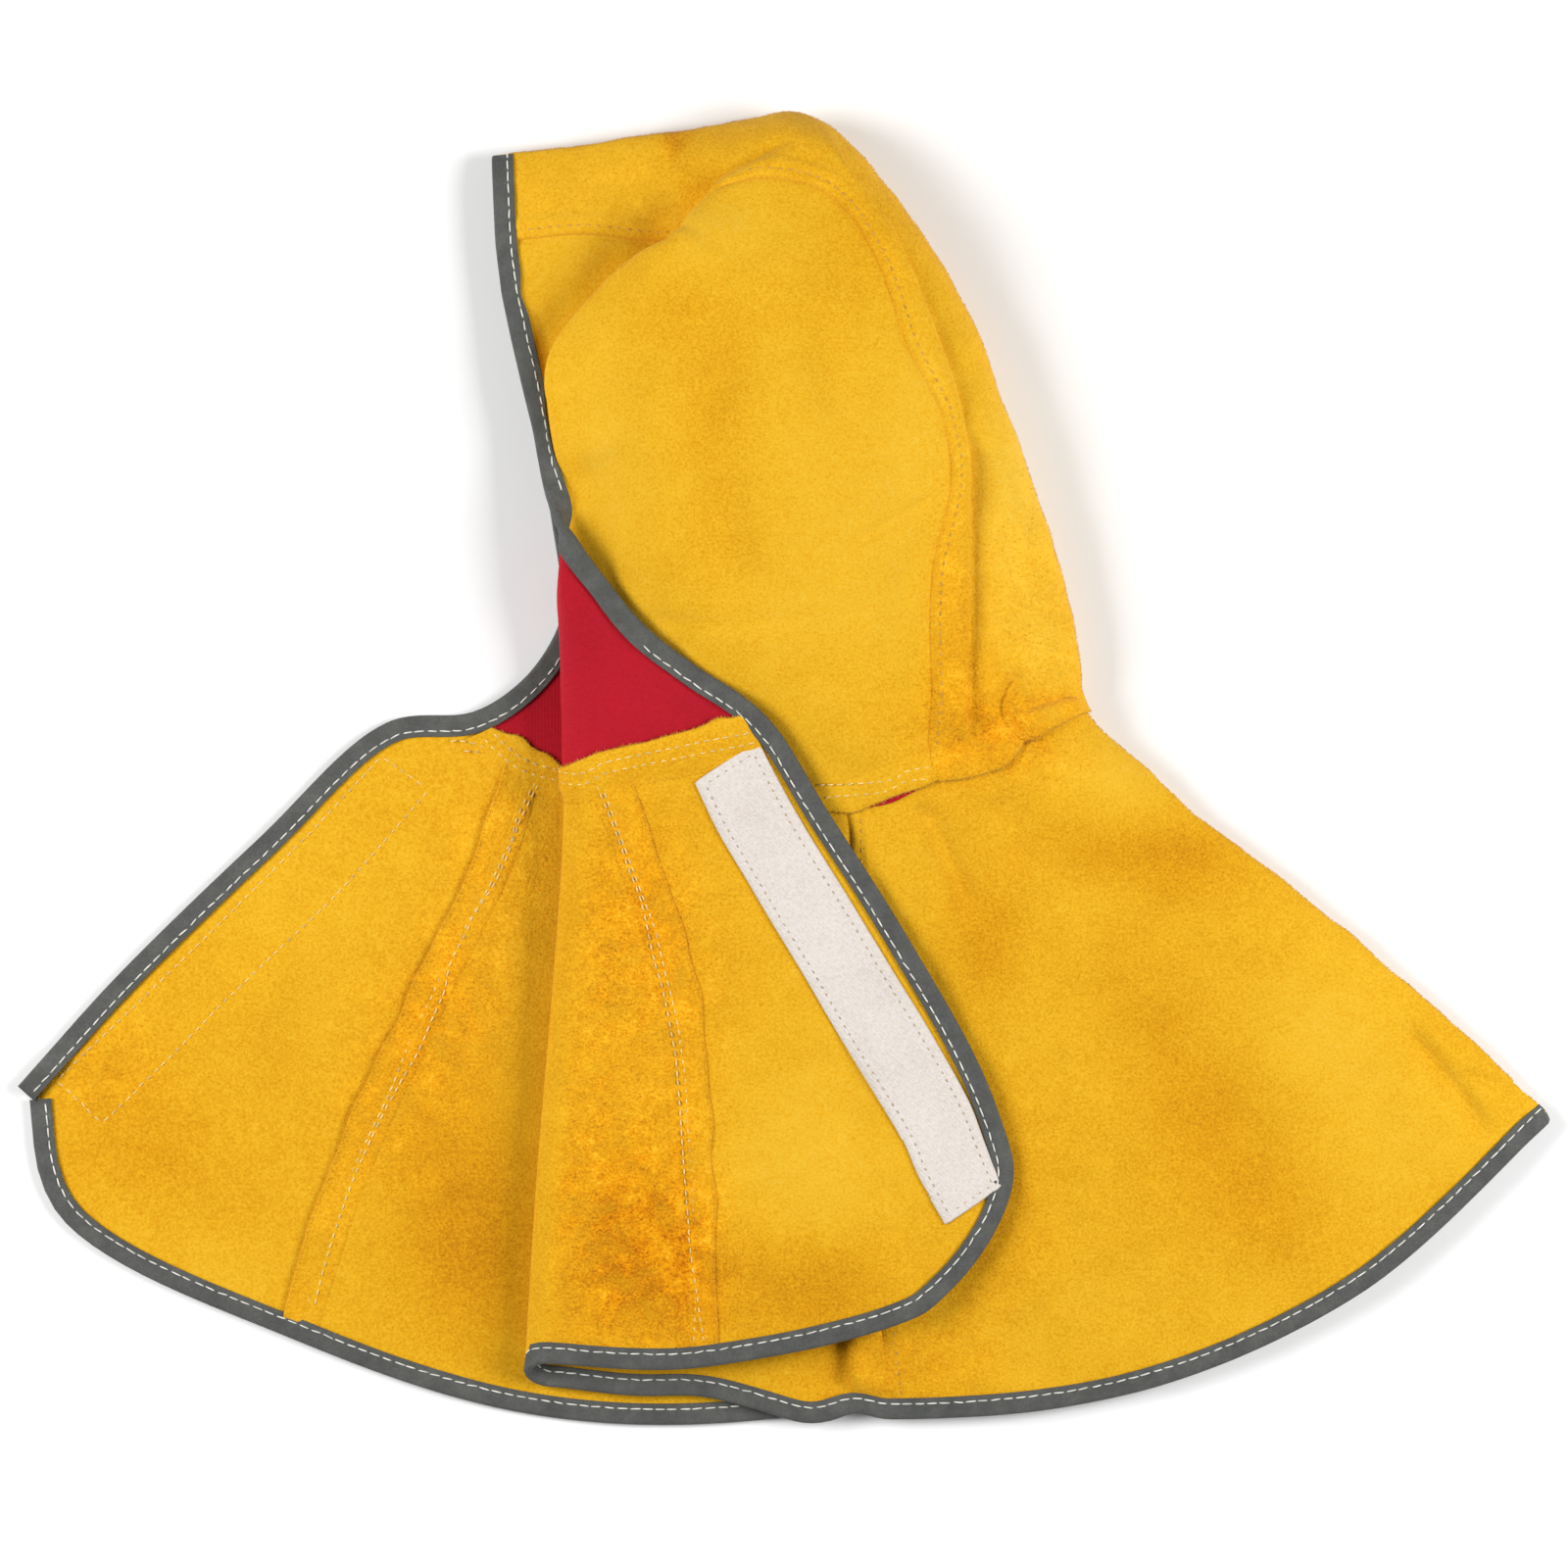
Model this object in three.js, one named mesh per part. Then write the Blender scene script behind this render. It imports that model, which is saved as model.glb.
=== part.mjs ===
// A split-leather welding hood with a shoulder cape, lying on its right side with its left front turned back.
// Units are millimetres, +Z is up and the floor is z = 0. The face looks along -X and the crown along +Y.
// The whole garment is one surface: columns run round it from the left front edge over the back to the right
// front edge, and rows run down it from the forehead to the hem. Each panel is a block of that surface.
import * as THREE from "three";

// Thickness of the materials
const LEATHER = 1.4;
const LINING = 1.0;
const TAPE = 1.2;
const BINDING_WALL = 0.9;

// Trim sizes
const BINDING_WIDTH = 11;
const TAPE_WIDTH = 38;
const TAPE_EDGE_DISTANCE = 12;

// Clearances: between panels along a seam, between layers, and inside the binding's slot
const SEAM_GAP = 0.5;
const LAYER_GAP = 0.3;
const SLOT_GAP = 0.5;

// Heights of the leather's middle where it lies on the floor, and at a bound or taped edge
const FLOOR = LEATHER / 2;
const FLOOR_BOUND = LEATHER / 2 + SLOT_GAP + BINDING_WALL + 0.5;

// The turn of the crown strip and of the back fold starts this far in from the outline
const RIM_INSET = 14;
const RIM_RISE = 0.75;

// Sections of the hood, from the forehead down to the neck. Each point is [x, y, z], or [x, y] on the floor.
//   edge   left edge of the face opening, which is turned back from the row "back" on
//   fold   where the front border starts to rise, or where the turned-back front starts to roll
//   roll   angle of that roll in degrees and its radius
//   flank, seam   left side panel, and its seam with the crown strip
//   crest  height of the side panel between those two
//   rim    outline of the crown strip
//   far    right edge of the face opening
// The neck row also has the seams of the cape that end there, which are explained below.
const HOOD = [
  { name: "forehead", edge: [-141, 247, 17], fold: [-142, 255, 17], roll: [0, 0], flank: [-143, 263, 17],
    crest: 17, seam: [-144, 272, 17], rim: [-146, 316, 9.5], far: [-140, 247] },
  { name: "brow", edge: [-137, 228, 19], fold: [-126, 240, 20], roll: [0, 0], flank: [-114, 257, 20],
    crest: 20, seam: [-104, 276, 20], rim: [-106, 321, 11], far: [-136, 228] },
  { name: "hairline", edge: [-133, 211, 21], fold: [-113, 225, 23], roll: [0, 0], flank: [-82, 253, 25],
    crest: 26, seam: [-55, 275, 25], rim: [-54, 328, 12], far: [-132, 211] },
  { name: "fore_crown", edge: [-129, 194, 23], fold: [-115, 205, 25], roll: [0, 0], flank: [-79, 237, 39],
    crest: 42, seam: [-36, 294, 38], rim: [-17, 334, 17], far: [-128, 194] },
  { name: "crown", edge: [-125, 177, 24], fold: [-112, 185, 27], roll: [0, 0], flank: [-72, 212, 48],
    crest: 52, seam: [-7, 302, 45], rim: [7, 337, 20], far: [-124, 177] },
  { name: "back_crown", edge: [-122, 161, 25], fold: [-107, 167, 28], roll: [0, 0], flank: [-64, 190, 53],
    crest: 58, seam: [21, 295, 48], rim: [34, 322, 20], far: [-120, 161] },
  { name: "upper_back", edge: [-118, 143, 26], fold: [-103, 148, 28], roll: [0, 0], flank: [-58, 168, 54],
    crest: 61, seam: [45, 263, 50], rim: [64, 283, 20], far: [-118, 145] },
  { name: "back", edge: [-112, 124, 39], fold: [-105, 120, 20], roll: [90, 7], flank: [-52, 136, 52],
    crest: 61, seam: [62, 217, 50], rim: [94, 233, 20], far: [-115, 126] },
  { name: "lower_back", edge: [-97, 103, 34], fold: [-105, 97, 16], roll: [180, 7.5], flank: [-40, 104, 48],
    crest: 58, seam: [78, 183, 48], rim: [113, 183, 19], far: [-112, 106] },
  { name: "nape_top", edge: [-72, 79, 34], fold: [-103, 68, 14], roll: [180, 8], flank: [-25, 69, 42],
    crest: 53, seam: [82, 151, 45], rim: [128, 141, 18], far: [-111, 86] },
  { name: "nape", edge: [-43, 57, 37], fold: [-102, 42, 13], roll: [180, 8.5], flank: [-5, 37, 36],
    crest: 47, seam: [74, 104, 41], rim: [141, 99, 17], far: [-119, 67] },
  { name: "low_nape", edge: [-21, 43, 39], fold: [-101, 22, 12.5], roll: [180, 9], flank: [16, 9, 31],
    crest: 41, seam: [74, 49, 37], rim: [148, 59, 16], far: [-134, 49] },
  { name: "neck", edge: [-6, 29, 40], lapel: [-87, 12], fold: [-101, 6, 12.5], roll: [180, 9],
    flank: [31, -12, 27], crest: 32, seam: [77, 3, 32], rim: [152, 37, 14],
    farFlank: [33, -7], farFront: [-128, 12], far: [-157, 35] },
];

// Sections of the cape, from below the neck down to the hem, with these columns as well:
//   lapel, flank         left seams: front to shoulder panel, and shoulder panel to back panel
//   farFlank, farFront   the same two seams on the right, lying on the floor
//   seam                 height of the back panel before it turns
//   bow, corner          how far the row bows out across the back, and at the front panels' round corners
const CAPE = [
  { name: "collar", edge: [19, -11, 34], lapel: [-74, -33], fold: [-102, -34, 10], roll: [180, 9],
    flank: [33, -54, 24], crest: 28, seam: 26, rim: [198, -6, 12],
    farFlank: [30, -52], farFront: [-142, -33], far: [-200, 30], bow: 8, corner: 0 },
  { name: "shoulder", edge: [62, -79, 29], lapel: [-53, -104], fold: [-108, -110, 7.5], roll: [180, 8.5],
    flank: [37, -141, 17], crest: 22, seam: 20, rim: [264, -59, 10],
    farFlank: [24, -143], farFront: [-178, -109], far: [-264, -28], bow: 18, corner: 0 },
  { name: "drape", edge: [99, -146, 25], lapel: [-46, -193], fold: [-116, -201, 6.5], roll: [180, 8],
    flank: [45, -232, 12], crest: 16, seam: 14, rim: [336, -121, 8],
    farFlank: [15, -235], farFront: [-218, -198], far: [-336, -98], bow: 30, corner: 6 },
  { name: "hem", edge: [116, -200, 22], lapel: [-43, -292], fold: [-123, -297, 8], roll: [180, 7],
    flank: [54, -319, 9], crest: 9.5, seam: 11, rim: [387, -168, 7],
    farFlank: [6, -318], farFront: [-245, -280], far: [-384, -154], bow: 44, corner: 38 },
];

// Columns of every section, in order round the garment, with the number of facets to the next column
const COLUMNS = {
  edge: 1, corner: 2, lapel: 1, foldOver: 1, foldTop: 2, foldSide: 2, foldLow: 1, foldUnder: 2, flank: 2,
  crest: 2, seam: 1, rimTop: 2, rim: 2, rimLow: 2, farSeam: 2, farFlank: 2, farMid: 2, farFront: 1,
  farCorner: 2, farEdge: 0,
};
// Number of facets from each row to the next
const ROW_FACETS = [1, 1, 1, 1, 1, 1, 3, 3, 2, 1, 1, 1, 2, 3, 3, 3];

// Where the hidden columns of the hood's right side lie between its seam and its face edge
const FAR_SHARES = { farFlank: 0.2, farMid: 0.55, farFront: 0.87, farCorner: 0.94 };
// Where the corner column lies between a front edge and its seam, left and right
const CORNER_SHARE = 0.3;
const FAR_CORNER_SHARE = 0.35;
// The hem's right half bows out a little less than its left half, which hides it
const FAR_BOW = 0.88;

const point = ([x, y, z = FLOOR]) => new THREE.Vector3(x, y, z);
const between = (a, b, share) => new THREE.Vector3().lerpVectors(a, b, share);

// The point at a share of the way from a to b, pushed sideways in plan by a parabola of height bow.
function bowed(a, b, share, bow) {
  const along = new THREE.Vector3(b.x - a.x, b.y - a.y, 0).normalize();
  const sideways = new THREE.Vector3(along.y, -along.x, 0);
  return between(a, b, share).addScaledVector(sideways, 4 * share * (1 - share) * bow);
}

// The roll of the turned-back front, as points from under it to over it: an arc in the upright plane that
// holds the fold and runs away from the flank. Without a roll the points lie evenly in the front border.
const ROLL_LEAD = 1.2;
function roll({ fold, roll: [degrees, radius], flank, edge }, lapel) {
  const low = point(fold);
  const end = lapel ?? point(edge);
  if (!degrees) {
    const under = between(low, point(flank), 0.15);
    return [under, low, between(low, end, 0.25), between(low, end, 0.45), between(low, end, 0.6)];
  }
  const away = new THREE.Vector3(fold[0] - flank[0], fold[1] - flank[1], 0).normalize();
  const onArc = (share) => {
    const angle = THREE.MathUtils.degToRad(degrees * share);
    const turned = low.clone().addScaledVector(away, radius * Math.sin(angle));
    turned.z += radius * (1 - Math.cos(angle));
    return turned;
  };
  const top = onArc(1);
  const lead = (from, to) => between(from, to, Math.min(0.5, (ROLL_LEAD * radius) / from.distanceTo(to)));
  const under = lead(low, point(flank));
  under.z = THREE.MathUtils.lerp(low.z, under.z, 0.5);
  return [under, low, onArc(0.5), top, lead(top, end)];
}

// The turned-back seam of a section, between the heights of the roll's top and of the edge.
function lapelPoint({ lapel, fold, roll: [, radius], edge }) {
  return point([...lapel, THREE.MathUtils.lerp(fold[2] + 2 * radius, edge[2], 0.3)]);
}

// The upper and lower points beside the outline, towards the panel it joins.
function rimPoints(rim, upper, lower) {
  const top = between(rim, upper, Math.min(1, RIM_INSET / rim.distanceTo(upper)));
  top.z = THREE.MathUtils.lerp(rim.z, upper.z, RIM_RISE);
  const low = between(rim, lower, Math.min(1, RIM_INSET / rim.distanceTo(lower)));
  low.z = THREE.MathUtils.lerp(lower.z, rim.z, 0.1);
  return { top, low };
}

// One section of the hood as its column points.
function hoodSection(row, isBound) {
  const floor = isBound ? FLOOR_BOUND : FLOOR;
  const edge = point(row.edge);
  const turn = roll(row, row.lapel && lapelPoint(row));
  const flank = point(row.flank);
  const seam = point(row.seam);
  const rim = point(row.rim);
  const farSeam = point([seam.x, seam.y, floor]);
  const farEdge = point([...row.far, FLOOR_BOUND]);
  const beside = rimPoints(rim, seam, farSeam);
  const crest = between(flank, seam, 0.5);
  crest.z = row.crest;
  const lapel = row.lapel ? lapelPoint(row) : between(edge, turn.at(-1), 0.6);
  const far = Object.fromEntries(Object.entries(FAR_SHARES).map(([name, share]) => {
    return [name, row[name] ? point(row[name]) : between(farSeam, farEdge, share)];
  }));
  if (row.farFront) {
    far.farFront.z = FLOOR_BOUND;
    far.farMid = between(far.farFlank, far.farFront, 0.5);
    far.farCorner = between(farEdge, far.farFront, FAR_CORNER_SHARE);
  }
  return [edge, between(edge, lapel, CORNER_SHARE), lapel, ...turn.reverse(), flank, crest, seam,
    beside.top, rim, beside.low, farSeam, far.farFlank, far.farMid, far.farFront, far.farCorner, farEdge];
}

// One section of the cape as its column points.
function capeSection(row, isBound) {
  const floor = isBound ? FLOOR_BOUND : FLOOR;
  const edge = point(row.edge);
  const lapel = lapelPoint(row);
  const turn = roll(row, lapel);
  const corner = bowed(edge, lapel, CORNER_SHARE, -row.corner);
  const flank = point(row.flank);
  const rim = point(row.rim);
  const crest = bowed(flank, rim, 1 / 3, row.bow);
  crest.z = row.crest;
  const seam = bowed(flank, rim, 2 / 3, row.bow);
  seam.z = row.seam;
  const farFlank = point([...row.farFlank, floor]);
  const farSeam = bowed(farFlank, point([rim.x, rim.y, floor]), 0.6, FAR_BOW * row.bow);
  const beside = rimPoints(rim, seam, farSeam);
  const farFront = point([...row.farFront, FLOOR_BOUND]);
  const farMid = bowed(farFront, farFlank, 0.5, row.corner / 2);
  farMid.z = floor;
  const farEdge = point([...row.far, FLOOR_BOUND]);
  const farCorner = bowed(farEdge, farFront, FAR_CORNER_SHARE, row.corner);
  return [edge, corner, lapel, ...turn.reverse(), flank, crest, seam,
    beside.top, rim, beside.low, farSeam, farFlank, farMid, farFront, farCorner, farEdge];
}

// The control net, and the finer grid of points and outward normals that every panel is cut from
const net = [
  ...HOOD.map((row, index) => hoodSection(row, index < 2)),
  ...CAPE.map((row, index) => capeSection(row, index >= CAPE.length - 2)),
];

// Points of a smooth curve through controls, with the given number of steps in each stretch.
function smooth(controls, facets) {
  const curve = new THREE.CatmullRomCurve3(controls);
  const stretches = controls.length - 1;
  const points = [];
  for (let stretch = 0; stretch < stretches; stretch++) {
    for (let step = 0; step < facets[stretch]; step++) {
      points.push(curve.getPoint((stretch + step / facets[stretch]) / stretches));
    }
  }
  return [...points, controls[stretches].clone()];
}

const keepAbove = (points, floor) => points.forEach((p) => p.setZ(Math.max(p.z, floor)));
const acrossFacets = Object.values(COLUMNS);
const acrossRows = net.map((section) => smooth(section, acrossFacets));
keepAbove(acrossRows[0], FLOOR_BOUND);
keepAbove(acrossRows.at(-1), FLOOR_BOUND);
const gridColumns = acrossRows[0].map((_, i) => smooth(acrossRows.map((row) => row[i]), ROW_FACETS));
keepAbove(gridColumns.flat(), FLOOR);
const LAST_I = gridColumns.length - 1;
const LAST_J = gridColumns[0].length - 1;

// Grid index of a named column or of a named row.
function columnAt(name) {
  const names = Object.keys(COLUMNS);
  return acrossFacets.slice(0, names.indexOf(name)).reduce((sum, n) => sum + n, 0);
}
function rowAt(name) {
  const names = [...HOOD, ...CAPE].map((row) => row.name);
  return ROW_FACETS.slice(0, names.indexOf(name)).reduce((sum, n) => sum + n, 0);
}

// Outward normal at a grid point: the sum of its facets' normals, from their diagonals.
function normalAt(i, j) {
  const sum = new THREE.Vector3();
  for (let a = Math.max(0, i - 1); a < Math.min(LAST_I, i + 1); a++) {
    for (let b = Math.max(0, j - 1); b < Math.min(LAST_J, j + 1); b++) {
      const falling = gridColumns[a + 1][b + 1].clone().sub(gridColumns[a][b]);
      const rising = gridColumns[a][b + 1].clone().sub(gridColumns[a + 1][b]);
      sum.add(rising.cross(falling).normalize());
    }
  }
  return sum.normalize();
}
const gridNormals = gridColumns.map((column, i) => column.map((_, j) => normalAt(i, j)));

// A closed wall between two faces given as equal grids of points, outer face first.
function wall(outer, inner) {
  const [m, n] = [outer.length, outer[0].length];
  const vertices = [...outer.flat(), ...inner.flat()].flatMap((p) => [p.x, p.y, p.z]);
  const at = (face, i, j) => face * m * n + i * n + j;
  const triangles = [];
  const quad = (a, b, c, d) => triangles.push(a, b, c, a, c, d);
  for (let i = 0; i < m - 1; i++) {
    for (let j = 0; j < n - 1; j++) {
      quad(at(0, i, j), at(0, i, j + 1), at(0, i + 1, j + 1), at(0, i + 1, j));
      quad(at(1, i, j), at(1, i + 1, j), at(1, i + 1, j + 1), at(1, i, j + 1));
    }
    quad(at(0, i, 0), at(0, i + 1, 0), at(1, i + 1, 0), at(1, i, 0));
    quad(at(0, i + 1, n - 1), at(0, i, n - 1), at(1, i, n - 1), at(1, i + 1, n - 1));
  }
  for (let j = 0; j < n - 1; j++) {
    quad(at(0, 0, j + 1), at(0, 0, j), at(1, 0, j), at(1, 0, j + 1));
    quad(at(0, m - 1, j), at(0, m - 1, j + 1), at(1, m - 1, j + 1), at(1, m - 1, j));
  }
  return indexed(vertices, triangles);
}

function indexed(vertices, triangles) {
  const geometry = new THREE.BufferGeometry();
  geometry.setAttribute("position", new THREE.Float32BufferAttribute(vertices, 3));
  geometry.setIndex(triangles);
  return geometry;
}

// The geometry of one panel: the block of the grid between two columns and two rows, drawn in by half a seam
// gap on every side, with its middle at a height above the leather's middle, and its thickness.
function panel([left, right], [top, bottom], height, thickness) {
  const [i0, i1] = [columnAt(left), columnAt(right)];
  const [j0, j1] = [rowAt(top), rowAt(bottom)];
  const drawnIn = (i, j) => {
    const p = gridColumns[i][j].clone();
    const towards = (target) => {
      const step = target.clone().sub(gridColumns[i][j]);
      p.addScaledVector(step.normalize(), SEAM_GAP / 2);
    };
    if (i === i0) towards(gridColumns[i + 1][j]);
    if (i === i1) towards(gridColumns[i - 1][j]);
    if (j === j0) towards(gridColumns[i][j + 1]);
    if (j === j1) towards(gridColumns[i][j - 1]);
    return p;
  };
  const face = (offset) => {
    const columns = [];
    for (let i = i0; i <= i1; i++) {
      const column = [];
      for (let j = j0; j <= j1; j++) {
        column.push(drawnIn(i, j).addScaledVector(gridNormals[i][j], offset));
      }
      columns.push(column);
    }
    return columns;
  };
  return wall(face(height + thickness / 2), face(height - thickness / 2));
}

// A point on the flat facets at fractional grid indices, raised along the normal.
function onFacets(i, j, height) {
  const [a, b] = [Math.min(LAST_I - 1, Math.floor(i)), Math.min(LAST_J - 1, Math.floor(j))];
  const blend = (grid) => {
    const upper = between(grid[a][b], grid[a + 1][b], i - a);
    return upper.lerp(between(grid[a][b + 1], grid[a + 1][b + 1], i - a), j - b);
  };
  return blend(gridColumns).addScaledVector(blend(gridNormals).normalize(), height);
}

// Fractional grid place at a distance from another one, along a grid line.
function walk([i, j], [di, dj], distance) {
  const length = onFacets(i, j, 0).distanceTo(onFacets(i + di, j + dj, 0));
  if (length < distance) return walk([i + di, j + dj], [di, dj], distance - length);
  return [i + (di * distance) / length, j + (dj * distance) / length];
}

// A hook or loop tape along a front edge, from one fractional grid row to another. The skew at each end is
// how many rows its inner side runs ahead of its outer side, which squares that end.
const TAPE_STEPS = 12;
const TAPE_STRIPS = 2;
function tape({ rows: [from, to], skews: [skewFrom, skewTo], isLeft, height }) {
  const face = (offset) => {
    const columns = [];
    for (let a = 0; a <= TAPE_STRIPS; a++) {
      const share = a / TAPE_STRIPS;
      const column = [];
      for (let b = 0; b <= TAPE_STEPS; b++) {
        const along = b / TAPE_STEPS;
        const skew = THREE.MathUtils.lerp(skewFrom, skewTo, along);
        const j = THREE.MathUtils.lerp(from, to, along) + skew * share;
        const edge = [isLeft ? 0 : LAST_I, j];
        const place = walk(edge, [isLeft ? 1 : -1, 0], TAPE_EDGE_DISTANCE + TAPE_WIDTH * share);
        column.push(onFacets(...place, offset));
      }
      columns.push(column);
    }
    return isLeft ? columns : columns.reverse();
  };
  return wall(face(height + TAPE / 2), face(height - TAPE / 2));
}

// The bound edge as grid places, each with the grid direction that leads into its panel: hem, left front and
// face edge, forehead, right face and front edge.
function boundEdge() {
  const places = [];
  for (let i = LAST_I; i > 0; i--) places.push({ at: [i, LAST_J], into: [0, -1] });
  for (let j = LAST_J; j > 0; j--) places.push({ at: [0, j], into: [1, 0] });
  for (let i = 0; i < LAST_I; i++) places.push({ at: [i, 0], into: [0, 1] });
  for (let j = 0; j <= LAST_J; j++) places.push({ at: [LAST_I, j], into: [-1, 0] });
  return places;
}

// The binding: one folded strip round the whole edge, a U whose legs lie over both faces of the leather. It
// starts on the hem beside its own end at the right front corner, and the end stands out past that corner.
const BINDING_START = 16;
const BINDING_END = 6;
const STEEPEST_WALK = 0.6;
function binding() {
  const neck = rowAt("neck");
  const places = boundEdge();
  const last = places.length - 1;
  const points = places.map(({ at: [i, j] }) => gridColumns[i][j].clone());
  points[0].add(points[1].clone().sub(points[0]).setLength(BINDING_START));
  points[last].add(points[last].clone().sub(points[last - 1]).setLength(BINDING_END));

  const slotOut = LEATHER / 2 + SLOT_GAP;
  const lip = BINDING_WIDTH - BINDING_WALL - SLOT_GAP;
  const outside = -BINDING_WALL - SLOT_GAP;
  const sections = places.map(({ at: [i, j], into }, k) => {
    const p = points[k];
    const normal = gridNormals[i][j];
    const ahead = points[Math.min(k + 1, last)].clone().sub(p).normalize();
    const behind = p.clone().sub(points[Math.max(k - 1, 0)]).normalize();
    const along = ahead.add(behind).normalize();
    const inward = along.clone().cross(normal).normalize();
    const gridLine = onFacets(i + into[0], j + into[1], 0).sub(gridColumns[i][j]).normalize();
    const squareness = gridLine.dot(inward);
    const isCorner = k === 0 || k === last || (i === 0 && j === LAST_J) || squareness < STEEPEST_WALK;
    const place = (distance, height) => {
      if (distance > 0 && !isCorner) return onFacets(...walk([i, j], into, distance / squareness), height);
      return p.clone().addScaledVector(inward, distance).addScaledVector(normal, height);
    };
    const slotIn = slotOut + (j <= neck ? 2 * LAYER_GAP + LINING : 0);
    const [top, bottom] = [slotOut + BINDING_WALL, -slotIn - BINDING_WALL];
    return [
      place(lip, top), place(lip / 2, top), place(outside, top),
      place(outside, bottom), place(lip / 2, bottom), place(lip, bottom),
      place(lip, -slotIn), place(lip / 2, -slotIn), place(-SLOT_GAP, -slotIn),
      place(-SLOT_GAP, slotOut), place(lip / 2, slotOut), place(lip, slotOut),
    ];
  });
  const sides = sections[0].length;
  const vertex = (k, side) => k * sides + (side % sides);
  const triangles = [];
  for (let k = 0; k < last; k++) {
    for (let side = 0; side < sides; side++) {
      const [a, b] = [vertex(k, side), vertex(k, side + 1)];
      const [c, d] = [vertex(k + 1, side + 1), vertex(k + 1, side)];
      triangles.push(a, c, b, a, d, c);
    }
  }
  for (let side = 0; side < sides / 2 - 1; side++) {
    const corners = [side, side + 1, sides - 2 - side, sides - 1 - side];
    const [a, b, c, d] = corners.map((corner) => vertex(0, corner));
    triangles.push(a, b, c, a, c, d);
    const [e, f, g, h] = corners.map((corner) => vertex(last, corner));
    triangles.push(e, g, f, e, h, g);
  }
  return indexed(sections.flat().flatMap((q) => [q.x, q.y, q.z]), triangles);
}

// Materials
const suede = new THREE.MeshStandardMaterial({ color: 0xe3a51c, roughness: 0.95, metalness: 0 });
const cotton = new THREE.MeshStandardMaterial({ color: 0xb4182a, roughness: 0.85, metalness: 0 });
const bias = new THREE.MeshStandardMaterial({ color: 0x5a5b58, roughness: 0.8, metalness: 0 });
const loopPile = new THREE.MeshStandardMaterial({ color: 0xe9e3dd, roughness: 0.9, metalness: 0 });

// Assembly
const hood = new THREE.Group();
function add(name, geometry, material) {
  const mesh = new THREE.Mesh(geometry, material);
  mesh.name = name;
  hood.add(mesh);
}

const HEAD = ["forehead", "neck"];
const SHOULDERS = ["neck", "hem"];
add("side_panel_left", panel(["edge", "seam"], HEAD, 0, LEATHER), suede);
add("crown_strip", panel(["seam", "farSeam"], HEAD, 0, LEATHER), suede);
add("side_panel_right", panel(["farSeam", "farEdge"], HEAD, 0, LEATHER), suede);
add("lining", panel(["edge", "farEdge"], HEAD, -LEATHER / 2 - LAYER_GAP - LINING / 2, LINING), cotton);
add("cape_front_left", panel(["edge", "lapel"], SHOULDERS, 0, LEATHER), suede);
add("cape_shoulder_left", panel(["lapel", "flank"], SHOULDERS, 0, LEATHER), suede);
add("cape_back", panel(["flank", "farFlank"], SHOULDERS, 0, LEATHER), suede);
add("cape_shoulder_right", panel(["farFlank", "farFront"], SHOULDERS, 0, LEATHER), suede);
add("cape_front_right", panel(["farFront", "farEdge"], SHOULDERS, 0, LEATHER), suede);
add("edge_binding", binding(), bias);

const TAPE_HEIGHT = LEATHER / 2 + LAYER_GAP + TAPE / 2;
const loopRows = [rowAt("neck") + 0.4, LAST_J - 0.65];
const hookRows = [rowAt("collar") + 0.2, LAST_J - 0.6];
const loop = tape({ rows: loopRows, skews: [0.6, -0.5], isLeft: true, height: -TAPE_HEIGHT });
const hook = tape({ rows: hookRows, skews: [0, -0.8], isLeft: false, height: TAPE_HEIGHT });
add("loop_tape", loop, loopPile);
add("hook_tape", hook, loopPile);

// The origin is the middle of the outline, on the floor
const outline = new THREE.Box3().setFromObject(hood);
const middle = outline.getCenter(new THREE.Vector3());
hood.children.forEach((mesh) => mesh.position.set(-middle.x, -middle.y, -outline.min.z));

export default hood;
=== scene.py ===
# A split-leather welding hood with a shoulder cape, lying on its right side with its left front turned back.
# Lengths are metres, +Z is up and the floor is z = 0. The face looks along -X and the crown along +Y.
# The whole garment is one surface: columns run round it from the left front edge over the back to the right
# front edge, and rows run down it from the forehead to the hem. Every piece is laid on that surface.
import math

import bpy
import numpy as np
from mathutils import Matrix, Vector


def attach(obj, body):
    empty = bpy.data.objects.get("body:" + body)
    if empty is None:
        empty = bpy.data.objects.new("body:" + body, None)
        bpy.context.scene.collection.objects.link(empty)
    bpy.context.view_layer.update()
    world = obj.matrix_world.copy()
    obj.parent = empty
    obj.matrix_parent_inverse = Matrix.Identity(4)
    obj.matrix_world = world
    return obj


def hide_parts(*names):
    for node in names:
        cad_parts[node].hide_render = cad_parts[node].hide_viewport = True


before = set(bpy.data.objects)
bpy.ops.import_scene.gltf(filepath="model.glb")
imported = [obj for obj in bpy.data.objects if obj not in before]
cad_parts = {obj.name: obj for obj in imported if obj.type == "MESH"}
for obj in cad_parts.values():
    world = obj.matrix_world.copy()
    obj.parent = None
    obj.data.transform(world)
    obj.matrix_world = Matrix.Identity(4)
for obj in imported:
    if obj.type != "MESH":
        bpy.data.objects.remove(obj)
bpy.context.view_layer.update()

# Seeds of the random draws; a loop adds its count to its seed
SEED = dict(lap=5, overhang=8, seam=20, ripple=21, top=31, lapel_neck=36, right_neck=38, hook=50, loop=60,
            binding=70, neck_fray=80, lap_fray=90, nap=95, fuzz=97, cells=7)

# Thickness of the materials, and the gap between two layers
LEATHER = 0.0014
LINING = 0.0007
TAPE = 0.0012
BINDING_WALL = 0.0008
LAYER_GAP = 0.0003

# Trim sizes
BINDING_WIDTH = 0.011
TAPE_WIDTH = 0.038
TAPE_LINES = 14

# The loop tape is this many pixels wide in the photograph, which sets the scale of every pixel place below
TAPE_PIXELS = 77
PIXEL = TAPE_WIDTH / TAPE_PIXELS
PHOTO_SIDE = 1600

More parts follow.
